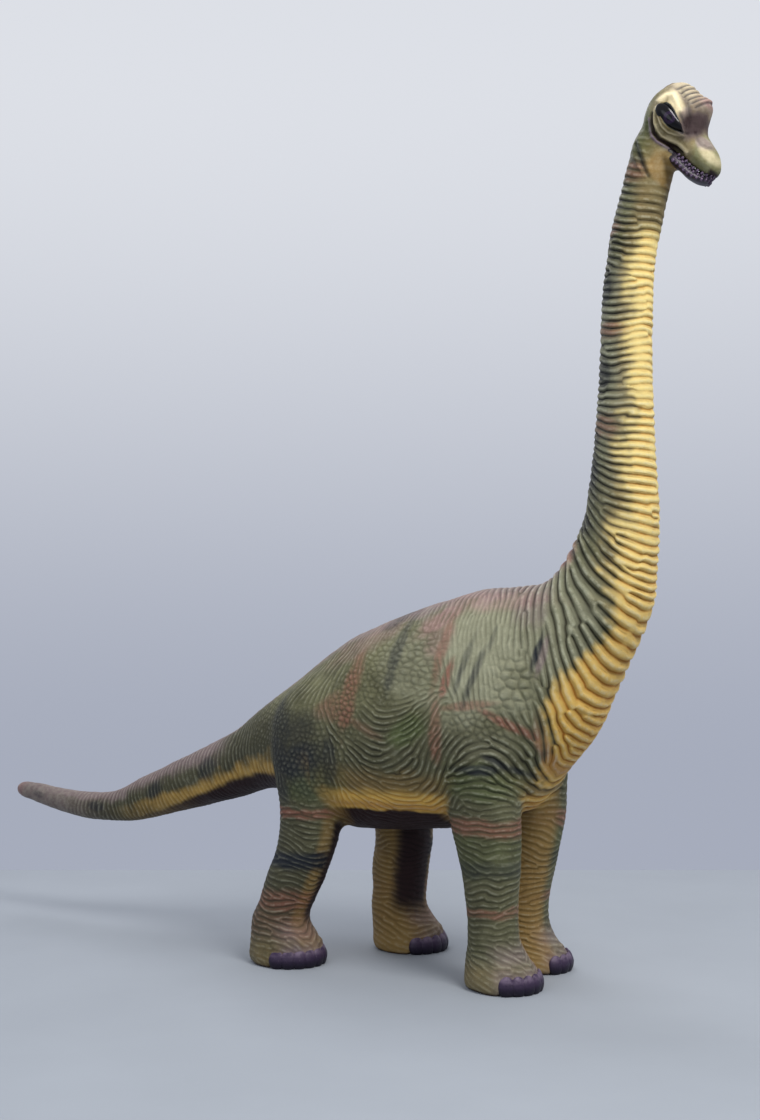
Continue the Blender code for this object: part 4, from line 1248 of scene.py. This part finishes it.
    def paint_brow(self):
        """Cream on the brow, the lower lid, the cheek and the forehead's ridges, and a painted highlight in
        cream on the upper snout.
        """
        head, along, up, blur = self.on_head, self.along, self.up, self.blur
        side = ease(np.abs(np.sin(self.head_turn)) / 0.5)
        brow = from_path(along, up, BROW_CREAM)
        over_eye = in_spot(along, up, (0.024, 0.074, 0.034, 0.013, 14), 0.4 * blur)
        self.add_paint("cream", np.maximum(bell(brow / 0.010), over_eye * 0.75) * side * head * 0.95)
        self.add_paint("mauve", in_spot(along, up, (0.068, 0.070, 0.014, 0.020, 0), blur) * head * 0.8)
        for mark, width in (("lower_lid", 0.0028), ("cheek", 0.0045)):
            line = from_mark(along, up, mark)
            self.add_paint("cream", bell(line / width) * side * self.near_head * 0.50)
        ridges = ease((up - 0.090) / 0.012) * ease((0.085 - along) / 0.06)
        self.add_paint("cream", ridges * head * (1 - self.forehead) * 0.35)
        # Painted highlight in cream on the upper snout, near its tip
        self.add_paint("cream", in_spot(along, up, (0.190, 0.036, 0.026, 0.010, 0), blur) * head * 0.45)

    def paint_lines(self):
        """Ink in the head's grooves and round the eyes, and the dark slit and lips of the mouth."""
        head, along, up = self.on_head, self.along, self.up
        self.add_paint("ink", self.forehead * head * 0.75)
        self.add_paint("ink", self.brow_groove * 0.45)
        self.add_paint("ink", self.neck_creases * 0.60)
        rim = 0.0028 + 0.0028 * ease((up - 0.036 + 0.30 * (along - 0.05)) / 0.01)
        lid = ease((self.lid + rim) / 0.0016)
        self.add_paint("ink", lid)
        slit = self.mouth_slit
        self.add_paint("maroon", slit)
        self.add_paint("lilac", self.mouth_lip * (1 - slit))
        for name in ("cream", "yellow", "ochre"):
            self.paint[name] *= 1 - np.maximum(lid, slit)
        lip = ease((0.006 - up) / 0.006) * ease((along - 0.125) / 0.01)
        tip = ease((along - 0.208) / 0.008) * ease((0.022 - up) / 0.01)
        self.add_paint("maroon", np.maximum(lip * 0.7 * ease((-0.002 - up) / 0.005), tip) * head)

    def finish(self):
        """Moves the corners by the relief and stores the marks that the paint is mixed from."""
        mesh = self.body.data
        points = self.points + self.normals * self.lift[:, None]
        points[:, 2] = np.maximum(points[:, 2], SOLE_GAP)
        set_corners(mesh, points)
        fields = {layer: [self.paint[name] for name in names] for layer, names in PAINT_LAYERS.items()}
        fields["fold"] = [self.crest, self.fold_depth, 0.5 + 0.5 * self.wave, 0.5 + 0.5 * self.swing]
        for name, columns in fields.items():
            layer = mesh.color_attributes.new(name, "FLOAT_COLOR", "POINT")
            layer.data.foreach_set("color", np.column_stack(columns).ravel().astype(np.float32))
        normal = mesh.attributes.new("whole_normal", "FLOAT_VECTOR", "POINT")
        normal.data.foreach_set("vector", normals_of(mesh).ravel().astype(np.float32))


# How deep under the skin each cut is closed
CUT_DEPTH = 0.012
# Lengths that the hide is parted into: name, where it ends along the trunk, and the solids it stands for.
# The throat takes what is left of the trunk, and the head is told apart by its own reading.
HIDE_LENGTHS = (
    ("hide_tail", 0.86, ("tail_tip", "tail_middle")),
    ("hide_rump", LOIN_AT, ("tail_base",)),
    ("hide_loin", 1.60, ()),
    ("hide_barrel", SHOULDER_AT, ("torso",)),
    ("hide_shoulder", 2.07, ()),
    ("hide_chest", NECK_AT, ()),
    ("hide_neck", 3.28, ("neck_lower", "neck_middle", "neck_upper")),
    ("hide_throat", math.inf, ()),
    ("hide_head", math.inf, ("head",)),
)


def part_hide(hide, paint):
    """Parts the hide into lengths and legs, each closed at its cuts and shaded as the whole was."""
    body, mesh = hide.body, hide.body.data
    label = np.searchsorted([length[1] for length in HIDE_LENGTHS[:-1]], hide.distance)
    label = np.where(hide.on_leg > 0.5, len(HIDE_LENGTHS) + hide.leg, label)
    label = np.where(hide.on_head > 0.5, len(HIDE_LENGTHS) - 1, label)
    plan = list(HIDE_LENGTHS) + [("hide_leg_" + name, math.inf, ("leg_" + name,)) for name in LEG_LINES]
    starts = numbers_of(mesh.polygons, "loop_start", 1, np.int64)[:, 0]
    corners = numbers_of(mesh.loops, "vertex_index", 1, np.int64)[:, 0]
    of_face = label[corners[starts]].astype(np.int32)
    for _ in plan:
        mesh.materials.append(paint)
    mesh.polygons.foreach_set("material_index", of_face)
    mesh.attributes.new("length", "INT", "FACE").data.foreach_set("value", of_face)
    bpy.ops.object.select_all(action="DESELECT")
    body.select_set(True)
    bpy.context.view_layer.objects.active = body
    bpy.ops.object.mode_set(mode="EDIT")
    bpy.ops.mesh.select_all(action="SELECT")
    bpy.ops.mesh.separate(type="MATERIAL")
    bpy.ops.object.mode_set(mode="OBJECT")
    for piece in list(bpy.context.selected_objects):
        name, _, nodes = plan[piece.data.attributes["length"].data[0].value]
        close_cuts(piece, name)
        slot = "head_paint" if name == "hide_head" else "hide_paint"
        hand_over(piece, slot, paint, *nodes)


def close_cuts(piece, name):
    """Closes a piece's cuts under its skin, names it, and shades it as the whole hide was there."""
    work = bmesh.new()
    work.from_mesh(piece.data)
    borders = [edge for edge in work.edges if edge.is_boundary]
    lining = bmesh.ops.extrude_edge_only(work, edges=borders)["geom"]
    inward = work.verts.layers.float_vector["whole_normal"]
    for part in lining:
        if isinstance(part, bmesh.types.BMVert):
            part.co -= part[inward] * CUT_DEPTH
    borders = [edge for edge in work.edges if edge.is_boundary]
    filled = bmesh.ops.holes_fill(work, edges=borders, sides=0)
    bmesh.ops.triangulate(work, faces=filled["faces"])
    work.to_mesh(piece.data)
    work.free()
    mesh = piece.data
    mesh.shade_smooth()
    normals = numbers_of(mesh.attributes["whole_normal"].data, "vector", 3, np.float32)
    mesh.normals_split_custom_set_from_vertices(normals)
    for spare in ("whole_normal", "length"):
        mesh.attributes.remove(mesh.attributes[spare])
    piece.name = name
    mesh.name = name


def hand_over(piece, slot, paint, *nodes):
    """Paints a finished piece, and has it ride on the statue in place of its solids."""
    piece.data.materials.clear()
    piece.data.materials.append(paint)
    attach(piece, "root")
    if nodes:
        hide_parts(*nodes)


# Lower jaw: how full its lip is, where the teeth start, the gap from one to the next and their half sizes
LIP_SWELL = 0.002
TEETH_FROM = 0.118
TOOTH_GAP = 0.0135
TOOTH_HALF = (0.0043, 0.0030, 0.0050)
# Rows of teeth on the lip: how far up the lip is turned there, how far each row stands above that, and
# by what share of a gap it is shifted
TOOTH_ROWS = ((-0.14, 0.0, 0.0), (0.14, 0.0, 0.5), (0.10, 0.0090, 0.0))


def jaw_skin(along, turn):
    """Points of the lower jaw's skin, with a full lip round its upper edge."""
    under, lip, half_width = at(JAW_SLICES, along)
    upward = -np.sign(np.cos(turn)) * np.abs(np.cos(turn)) ** 0.6
    swell = LIP_SWELL * bell((upward + 0.35) / 0.35) * np.abs(np.sin(turn))
    up = (lip + under) / 2 + upward * (lip - under) / 2
    sunk = 0.006 * ease((upward - 0.8) / 0.2)
    drawn_in = 0.005 * ease((along - 0.09) / 0.02) * ease((upward + 0.1) / 0.5)
    behind = 0.006 * ease((0.125 - along) / 0.04)
    return in_head(along, np.sin(turn) * (half_width + swell - drawn_in - behind), up - sunk)


def make_jaw(paint):
    """The lower jaw: a dark purple lip that carries the small teeth."""
    work = bmesh.new()
    add_tube(work, JAW[0][0], JAW[-1][0], JAW_GRID, jaw_skin)
    jaw = new_object("jaw_lip", work)
    hand_over(jaw, "jaw_paint", paint, "jaw")


def make_teeth(paint):
    """Small blunt teeth in three rows round the lip, each leaning a little its own way."""
    rng = np.random.default_rng(SEED + 2)
    along = np.linspace(TEETH_FROM, JAW[-1][0], 120)
    rows = bmesh.new()
    for rise, lift, shift in TOOTH_ROWS:
        turn = np.full(len(along), math.pi / 2 + rise)
        lip = np.concatenate((jaw_skin(along, -turn), jaw_skin(along, turn)[::-1])) + CROWNWARD * lift
        reach = np.append(0.0, np.cumsum(np.linalg.norm(np.diff(lip, axis=0), axis=1)))
        for stand in np.arange(TOOTH_GAP * (0.5 + shift), reach[-1], TOOTH_GAP):
            root = np.array([np.interp(stand, reach, lip[:, axis]) for axis in range(3)])
            size = TOOTH_HALF * rng.uniform(0.85, 1.1, 3)
            tooth = bmesh.new()
            bmesh.ops.create_uvsphere(tooth, u_segments=10, v_segments=7, radius=1.0)
            lean = Matrix.Rotation(rng.uniform(-0.2, 0.2), 3, "X")
            for corner in tooth.verts:
                ahead, out, up = lean @ Vector(corner.co * Vector(size))
                corner.co = Vector(root + FORWARD * ahead + CROWNWARD * up) + Vector((0.0, out, 0.0))
            add_work(rows, tooth)
    bmesh.ops.recalc_face_normals(rows, faces=rows.faces)
    teeth = new_object("teeth", rows)
    hand_over(teeth, "jaw_paint", paint)


def make_nails(name, paint):
    """The nails of one foot: low rounded lobes, flat on the floor and side by side."""
    side, half_length, half_width, x, out = leg_slice(name, NAIL_MIDDLE)
    foot = bmesh.new()
    count, middle = NAIL_ROWS[name.split("_")[0]]
    for index in range(count):
        turn = side * (middle + (index - (count - 1) / 2) * NAIL_SPREAD)
        lobe = bmesh.new()
        bmesh.ops.create_uvsphere(lobe, u_segments=40, v_segments=28, radius=1.0)
        for corner in lobe.verts:
            rise = corner.co.z
            full = 1 + NAIL_BULGE * (1 - rise * rise)
            radial = corner.co.x * NAIL_HALF[0] * full * (1 - NAIL_THINNING * max(rise, 0.0))
            wide = corner.co.y * NAIL_HALF[1] * full
            tall = rise * NAIL_HALF[2]
            spot = Vector((radial - NAIL_LEAN * max(rise, 0.0), wide, tall))
            spot.rotate(Matrix.Rotation(turn, 3, "Z"))
            spot += Vector((
                x + math.cos(turn) * (half_length - NAIL_INSET),
                side * out + math.sin(turn) * (half_width - NAIL_INSET),
                NAIL_MIDDLE,
            ))
            spot.z = max(spot.z, SOLE_GAP)
            corner.co = spot
        add_work(foot, lobe)
    bmesh.ops.recalc_face_normals(foot, faces=foot.faces)
    nails = new_object("nails_painted_" + name, foot)
    hand_over(nails, "nail_paint", paint, "nails_" + name)


# Where the middle of the gaze lies on an eye, and how wide the iris is from there
IRIS_AHEAD = 0.004
IRIS_HALF = 0.017


def make_eye(side_name, paint):
    """One glossy eye. Each corner keeps how far it is from the middle of the gaze, for the iris."""
    side = -1 if side_name == "right" else 1
    work = bmesh.new()
    bmesh.ops.create_uvsphere(work, u_segments=64, v_segments=40, radius=1.0)
    balls = np.array([corner.co for corner in work.verts])
    along, out, up = balls[:, 0] * EYE_HALF[0], balls[:, 1] * EYE_HALF[1], balls[:, 2] * EYE_HALF[2]
    up = up * (1 - 0.25 * balls[:, 0])
    turned = out * math.cos(EYE_FORWARD_TURN) - along * math.sin(EYE_FORWARD_TURN)
    ahead = along * math.cos(EYE_FORWARD_TURN) + out * math.sin(EYE_FORWARD_TURN)
    spots = in_head(EYE_ALONG + ahead, side * (EYE_OUT + turned), EYE_UP + up)
    for corner, spot in zip(work.verts, spots):
        corner.co = spot
    bmesh.ops.recalc_face_normals(work, faces=work.faces)
    eye = new_object("eye_gloss_" + side_name, work)
    gaze = eye.data.attributes.new("gaze", "FLOAT", "POINT")
    spread = np.hypot((along - IRIS_AHEAD) / IRIS_HALF, up / IRIS_HALF)
    gaze.data.foreach_set("value", spread.astype(np.float32))
    hand_over(eye, "eye_gloss", paint, "eye_" + side_name)


# Paints and finishes


def colour(red, green, blue):
    """A colour as a shader takes it, from the amounts that a paint chart gives out of 255."""

    def channel(amount):
        share = amount / 255
        return share / 12.92 if share <= 0.04045 else ((share + 0.055) / 1.055) ** 2.4

    return (channel(red), channel(green), channel(blue), 1.0)


class Wire:
    """One output of a shader node, with which sums can be written as Python has them."""

    def __init__(self, tree, socket):
        self.tree = tree
        self.socket = socket

    def sum(self, operation, *amounts):
        settings = {"operation": operation}
        return node(self.tree, "ShaderNodeMath", settings, dict(enumerate(amounts)))

    def __add__(self, other):
        return self.sum("ADD", self, other)

    def __radd__(self, other):
        return self.sum("ADD", other, self)

    def __sub__(self, other):
        return self.sum("SUBTRACT", self, other)

    def __rsub__(self, other):
        return self.sum("SUBTRACT", other, self)

    def __mul__(self, other):
        return self.sum("MULTIPLY", self, other)

    def __rmul__(self, other):
        return self.sum("MULTIPLY", other, self)

    def __truediv__(self, other):
        return self.sum("DIVIDE", self, other)

    def __pow__(self, other):
        return self.sum("POWER", self, other)

    def clipped(self):
        """Held between nought and one."""
        settings = {"operation": "ADD", "use_clamp": True}
        return node(self.tree, "ShaderNodeMath", settings, {0: self, 1: 0.0})

    def step(self, low, high):
        """Nought below low, one above high, and a soft rise between."""
        settings = {"interpolation_type": "SMOOTHSTEP"}
        values = {"Value": self, "From Min": low, "From Max": high}
        return node(self.tree, "ShaderNodeMapRange", settings, values)


def node(tree, kind, settings=None, values=None, output=0):
    """Adds a node. Its settings come first, and then the values or wires of its sockets."""
    made = tree.nodes.new(kind)
    for name, value in (settings or {}).items():
        setattr(made, name, value)
    for name, value in (values or {}).items():
        if isinstance(value, Wire):
            tree.links.new(value.socket, made.inputs[name])
        else:
            made.inputs[name].default_value = value
    return Wire(tree, made.outputs[output]) if made.outputs else None


def new_paint(name):
    """An empty material, with its node tree."""
    paint = bpy.data.materials.new(name)
    paint.use_nodes = True
    paint.node_tree.nodes.clear()
    return paint, paint.node_tree


def coat(tree, **values):
    """Ends a tree in the one shader that all the paints use. Underscores stand for spaces in names."""
    named = {name.replace("_", " "): value for name, value in values.items()}
    shader = node(tree, "ShaderNodeBsdfPrincipled", {}, named)
    node(tree, "ShaderNodeOutputMaterial", {}, {"Surface": shader})


def place(tree):
    return node(tree, "ShaderNodeTexCoord", {}, {}, "Object")


def noise(tree, scale, detail=3.0, roughness=0.55):
    """Soft noise of the given number of blotches to the metre, from nought to one."""
    values = {"Vector": place(tree), "Scale": scale, "Detail": detail, "Roughness": roughness}
    return node(tree, "ShaderNodeTexNoise", {}, values, "Fac")


def cell_edges(tree, scale):
    """How far each point is from the edges between cells, of which so many lie in a metre."""
    values = {"Vector": place(tree), "Scale": scale}
    return node(tree, "ShaderNodeTexVoronoi", {"feature": "DISTANCE_TO_EDGE"}, values, "Distance")


def blend(tree, below, above, share, way="MIX"):
    """One colour laid over another, by the share from nought to one."""
    settings = {"data_type": "RGBA", "blend_type": way}
    return node(tree, "ShaderNodeMix", settings, {0: share, 6: below, 7: above}, 2)


def marks(tree, name):
    """The four marks of a painted layer, each as a wire."""
    settings = {"attribute_name": name}
    parts = node(tree, "ShaderNodeAttribute", settings, {}, "Color")
    first = [node(tree, "ShaderNodeSeparateColor", {}, {0: parts}, channel) for channel in range(3)]
    return first + [node(tree, "ShaderNodeAttribute", settings, {}, "Alpha")]


def bumped(tree, height, distance, under=None):
    """Surface directions with bumps of a height given in metres, laid over those under them."""
    values = {"Height": height, "Distance": distance, "Strength": 1.0}
    if under is not None:
        values["Normal"] = under
    return node(tree, "ShaderNodeBump", {}, values, "Normal")


# Colours of the hide, out of 255
GREEN_PALE = colour(152, 152, 126)
GREEN_MID = colour(112, 111, 80)
GREEN_DEEP = colour(80, 79, 54)
GREEN_DARK = colour(64, 62, 44)
YELLOW_PALE = colour(230, 208, 134)
YELLOW_DEEP = colour(208, 168, 82)
OCHRE = colour(140, 112, 62)
RUST = colour(132, 78, 64)
PINK = colour(150, 112, 110)
INK = colour(24, 30, 40)
MAUVE = colour(130, 112, 112)
MAROON = colour(36, 15, 16)
LILAC = colour(112, 96, 110)
LEAF = colour(82, 96, 52)
CREAM = colour(238, 222, 180)
# Colours that darken the folds, partly as a dark wash and partly as painted shade
GROOVE_GREEN = colour(84, 78, 62)
GROOVE_YELLOW = colour(186, 146, 84)
# Colour that lightens the ridges, partly as dry brushing and partly as painted highlight
DRY_BRUSH_AND_HIGHLIGHT = colour(206, 206, 180)
DUST = colour(60, 56, 50)


def hide_colours(tree, paints, crest, patch, streak):
    """The hide's greens, with its other paints laid over them one by one."""
    broad = noise(tree, 7)
    height = node(tree, "ShaderNodeSeparateXYZ", {}, {0: place(tree)}, "Z")
    base = blend(tree, GREEN_DEEP, GREEN_MID, (broad * 0.6 + patch * 0.4).step(0.36, 0.64))
    base = blend(tree, base, GREEN_PALE, (paints["pale"] * (0.35 + patch * 1.1)).clipped())
    base = blend(tree, base, GREEN_DARK, (paints["deep"] * (0.5 + broad * 0.7)).clipped())
    yellows = blend(tree, YELLOW_DEEP, YELLOW_PALE, height.step(0.55, 1.45))
    for tint, share in (
        (OCHRE, paints["ochre"]),
        (LEAF, paints["leaf"]),
        (MAUVE, paints["mauve"]),
        (yellows, paints["yellow"]),
        (PINK, paints["pink"] * (0.55 + crest * 0.55)),
        (RUST, paints["rust"] * (0.20 + crest * 0.85)),
        (INK, paints["ink"] * (1.25 - crest * 0.35)),
        (LILAC, paints["lilac"]),
        (CREAM, paints["cream"]),
        (MAROON, paints["maroon"]),
    ):
        uneven = (share + streak * share * (1 - share) * 3).clipped()
        base = blend(tree, base, tint, uneven)
    return base


def fold_lines(wave, swing, depth, patch):
    """Thin lines of painted shade along the bottom of each fold, and fainter ones here and there down its
    sides.
    """
    swell = wave * 2 - 1
    sway = swing * 2 - 1
    length = (swell * swell + sway * sway + 0.0001) ** 0.5
    crisp = swell / length
    line = ((0.5 - crisp * 0.5) ** 5) * depth
    minor = ((1 - crisp * crisp) ** 10) * patch.step(0.45, 0.62) * depth
    return line, minor


def hide_paint():
    """Greens, ochres and rust, with a dark wash and painted shade in the folds, and dry brushing and
    painted highlights on the ridges.
    """
    paint, tree = new_paint("hide_paint")
    paints = {}
    for layer, names in PAINT_LAYERS.items():
        paints.update(zip(names, marks(tree, layer)))
    crest, depth, wave, swing = marks(tree, "fold")
    patch, fleck, pores = noise(tree, 22, 4), noise(tree, 60, 5, 0.65), noise(tree, 260, 3, 0.6)
    streak = (patch - 0.5) * 0.8 + (fleck - 0.5) * 0.5
    base = hide_colours(tree, paints, crest, patch, streak)

    # The folds are darkened partly as a dark wash and partly as painted shade, most along their bottoms
    line, minor = fold_lines(wave, swing, depth, patch)
    crease_wash_and_shade = ((1 - crest).clipped() ** 1.3) * (0.42 + depth * 0.50)
    dark = (crease_wash_and_shade * (0.85 + streak * 0.5) + line * 0.24 + minor * 0.25).clipped()
    groove = blend(tree, GROOVE_GREEN, GROOVE_YELLOW, (paints["yellow"] + paints["cream"]).clipped())
    base = blend(tree, base, groove, dark, "MULTIPLY")
    # Ridges lightened, partly as dry brushing and partly as painted highlight
    ridge = crest.step(0.78, 1.0) * (0.25 + depth * 0.45) * fleck.step(0.36, 0.62)
    brushed_and_highlit = ridge * (0.48 - paints["ink"] * 0.18) * (1 - paints["maroon"]) * (1 - paints["cream"] * 0.6)
    base = blend(tree, base, DRY_BRUSH_AND_HIGHLIGHT, brushed_and_highlit)
    base = blend(tree, base, DUST, fleck.step(0.60, 0.78) * 0.20, "MULTIPLY")

    grain = cell_edges(tree, 420).step(0.0, 0.25)
    normal = bumped(tree, grain * 0.5 + pores * 0.5, 0.0007)
    normal = bumped(tree, noise(tree, 70, 4, 0.6), 0.0020, normal)
    normal = bumped(tree, 1 - line - minor * 0.6, 0.0012, normal)
    roughness = 0.50 + pores * 0.16 + dark * 0.14 - ridge * 0.12
    coat(tree, Base_Color=base, Roughness=roughness, Normal=normal, Specular_IOR_Level=0.25)
    return paint


def nail_paint():
    """Dusty purple nails, darker below and in blotches, lilac on top."""
    paint, tree = new_paint("nail_paint")
    height = node(tree, "ShaderNodeSeparateXYZ", {}, {0: place(tree)}, "Z")
    cloud, fleck = noise(tree, 40, 4), noise(tree, 180, 3)
    base = blend(tree, colour(14, 8, 26), colour(50, 34, 62), height.step(0.004, 0.044))
    base = blend(tree, base, colour(112, 96, 116), height.step(0.030, 0.046) * cloud.step(0.35, 0.6) * 0.8)
    base = blend(tree, base, colour(24, 16, 34), cloud.step(0.55, 0.75) * 0.5)
    base = blend(tree, base, colour(150, 136, 148), fleck.step(0.6, 0.8) * 0.15)
    normal = bumped(tree, noise(tree, 150, 3), 0.0012)
    coat(tree, Base_Color=base, Roughness=0.40 + cloud * 0.2, Normal=normal, Specular_IOR_Level=0.30)
    return paint


def jaw_paint():
    """The dark purple of the lower lip, with lilac flecks."""
    paint, tree = new_paint("jaw_paint")
    cloud, fleck = noise(tree, 60, 4), noise(tree, 220, 3)
    base = blend(tree, colour(16, 8, 20), colour(40, 24, 44), cloud.step(0.35, 0.65))
    base = blend(tree, base, colour(92, 74, 96), fleck.step(0.58, 0.75) * 0.10)
    normal = bumped(tree, cloud, 0.0016)
    coat(tree, Base_Color=base, Roughness=0.34 + cloud * 0.2, Normal=normal)
    return paint


def tooth_paint():
    """Dim lilac teeth with darker blotches."""
    paint, tree = new_paint("tooth_paint")
    fleck = noise(tree, 300, 3)
    base = blend(tree, colour(44, 30, 50), colour(100, 80, 106), fleck.step(0.35, 0.65))
    coat(tree, Base_Color=base, Roughness=0.32 + fleck * 0.1)
    return paint


def eye_paint():
    """A glossy black eye with a dark violet iris."""
    paint, tree = new_paint("eye_paint")
    gaze = node(tree, "ShaderNodeAttribute", {"attribute_name": "gaze"}, {}, "Fac")
    ring = gaze.step(0.38, 0.52) * (1 - gaze.step(0.86, 1.02))
    cloud = noise(tree, 260, 3)
    base = blend(tree, colour(4, 3, 6), colour(44, 28, 56), ring * (0.3 + cloud * 0.8))
    coat(tree, Base_Color=base, Roughness=0.14, Specular_IOR_Level=0.28)
    return paint


# Floor, light and camera
CAMERA = Vector((2.3786, -3.7796, 1.042))
LOOK_TURN = math.radians(30)
LENS = 48.2
SENSOR_HEIGHT = 36.0
SHIFT_UP = 0.0357
FLOOR_FAR = 5.79
FLOOR_NEAR = -3.0
FLOOR_HALF_WIDE = 7.0
WALL_LOW = colour(170, 176, 192)
WALL_HIGH = colour(226, 229, 236)


def along_view(right, ahead, up):
    """A point given as seen from the camera: to its right, ahead of it and above the floor."""
    across = Vector((math.cos(LOOK_TURN), math.sin(LOOK_TURN), 0.0))
    deep = Vector((-math.sin(LOOK_TURN), math.cos(LOOK_TURN), 0.0))
    return Vector((CAMERA.x, CAMERA.y, 0.0)) + across * right + deep * ahead + Vector((0.0, 0.0, up))


def make_floor():
    """A plain pale floor that ends where the photograph's does."""
    work = bmesh.new()
    corners = ((-1, FLOOR_NEAR), (1, FLOOR_NEAR), (1, FLOOR_FAR), (-1, FLOOR_FAR))
    spots = [along_view(side * FLOOR_HALF_WIDE, ahead, 0.0) for side, ahead in corners]
    bmesh.ops.contextual_create(work, geom=[work.verts.new(spot) for spot in spots])
    work.normal_update()
    floor = new_object("floor", work)
    paint, tree = new_paint("floor_paint")
    cloud = noise(tree, 1.5, 4)
    base = blend(tree, colour(144, 150, 158), colour(158, 164, 172), cloud)
    coat(tree, Base_Color=base, Roughness=0.75 + cloud * 0.1)
    floor.data.materials.append(paint)


def add_light(name, spot, size, power, tint, target=Vector((0.3, 0.0, 0.9))):
    """A soft round light that faces the statue."""
    lamp = bpy.data.lights.new(name, "AREA")
    lamp.shape = "DISK"
    lamp.size = size
    lamp.energy = power
    lamp.color = tint
    light = bpy.data.objects.new(name, lamp)
    bpy.context.scene.collection.objects.link(light)
    light.location = spot
    light.rotation_euler = (target - spot).to_track_quat("-Z", "Y").to_euler()


def light_and_camera():
    """Soft light from above, a weak fill, a rim light from behind, a pale room and the camera."""
    add_light("key", along_view(1.9, 1.6, 4.5), 2.0, 165, (1.0, 0.98, 0.95), Vector((0.8, 0.0, 1.5)))
    add_light("fill", along_view(-2.6, 0.6, 2.6), 2.6, 26, (0.92, 0.95, 1.0))
    add_light("rim", along_view(-0.6, 6.4, 3.8), 2.2, 40, (0.98, 0.97, 1.0))
    world = bpy.data.worlds.new("room")
    bpy.context.scene.world = world
    world.use_nodes = True
    world.node_tree.nodes.clear()
    way = node(world.node_tree, "ShaderNodeTexCoord", {}, {}, "Generated")
    rise = node(world.node_tree, "ShaderNodeSeparateXYZ", {}, {0: way}, "Z")
    wall = blend(world.node_tree, WALL_LOW, WALL_HIGH, rise.step(-0.12, 0.34))
    room = node(world.node_tree, "ShaderNodeBackground", {}, {"Color": wall, "Strength": 0.95})
    node(world.node_tree, "ShaderNodeOutputWorld", {}, {"Surface": room})
    bpy.context.scene.view_settings.view_transform = "Standard"
    eye = bpy.data.cameras.new("camera")
    eye.sensor_fit = "VERTICAL"
    eye.sensor_height = SENSOR_HEIGHT
    eye.lens = LENS
    eye.shift_y = SHIFT_UP
    camera = bpy.data.objects.new("camera", eye)
    bpy.context.scene.collection.objects.link(camera)
    camera.location = CAMERA
    camera.rotation_euler = (math.radians(90), 0.0, LOOK_TURN)
    bpy.context.scene.camera = camera


def build():
    hide = Hide(base_hide())
    hide.make_relief()
    hide.make_paints()
    hide.finish()
    part_hide(hide, hide_paint())
    jaw, tooth, nail, eye = jaw_paint(), tooth_paint(), nail_paint(), eye_paint()
    make_jaw(jaw)
    make_teeth(tooth)
    for name in LEG_LINES:
        make_nails(name, nail)
    for side in ("left", "right"):
        make_eye(side, eye)
    make_floor()
    light_and_camera()


build()
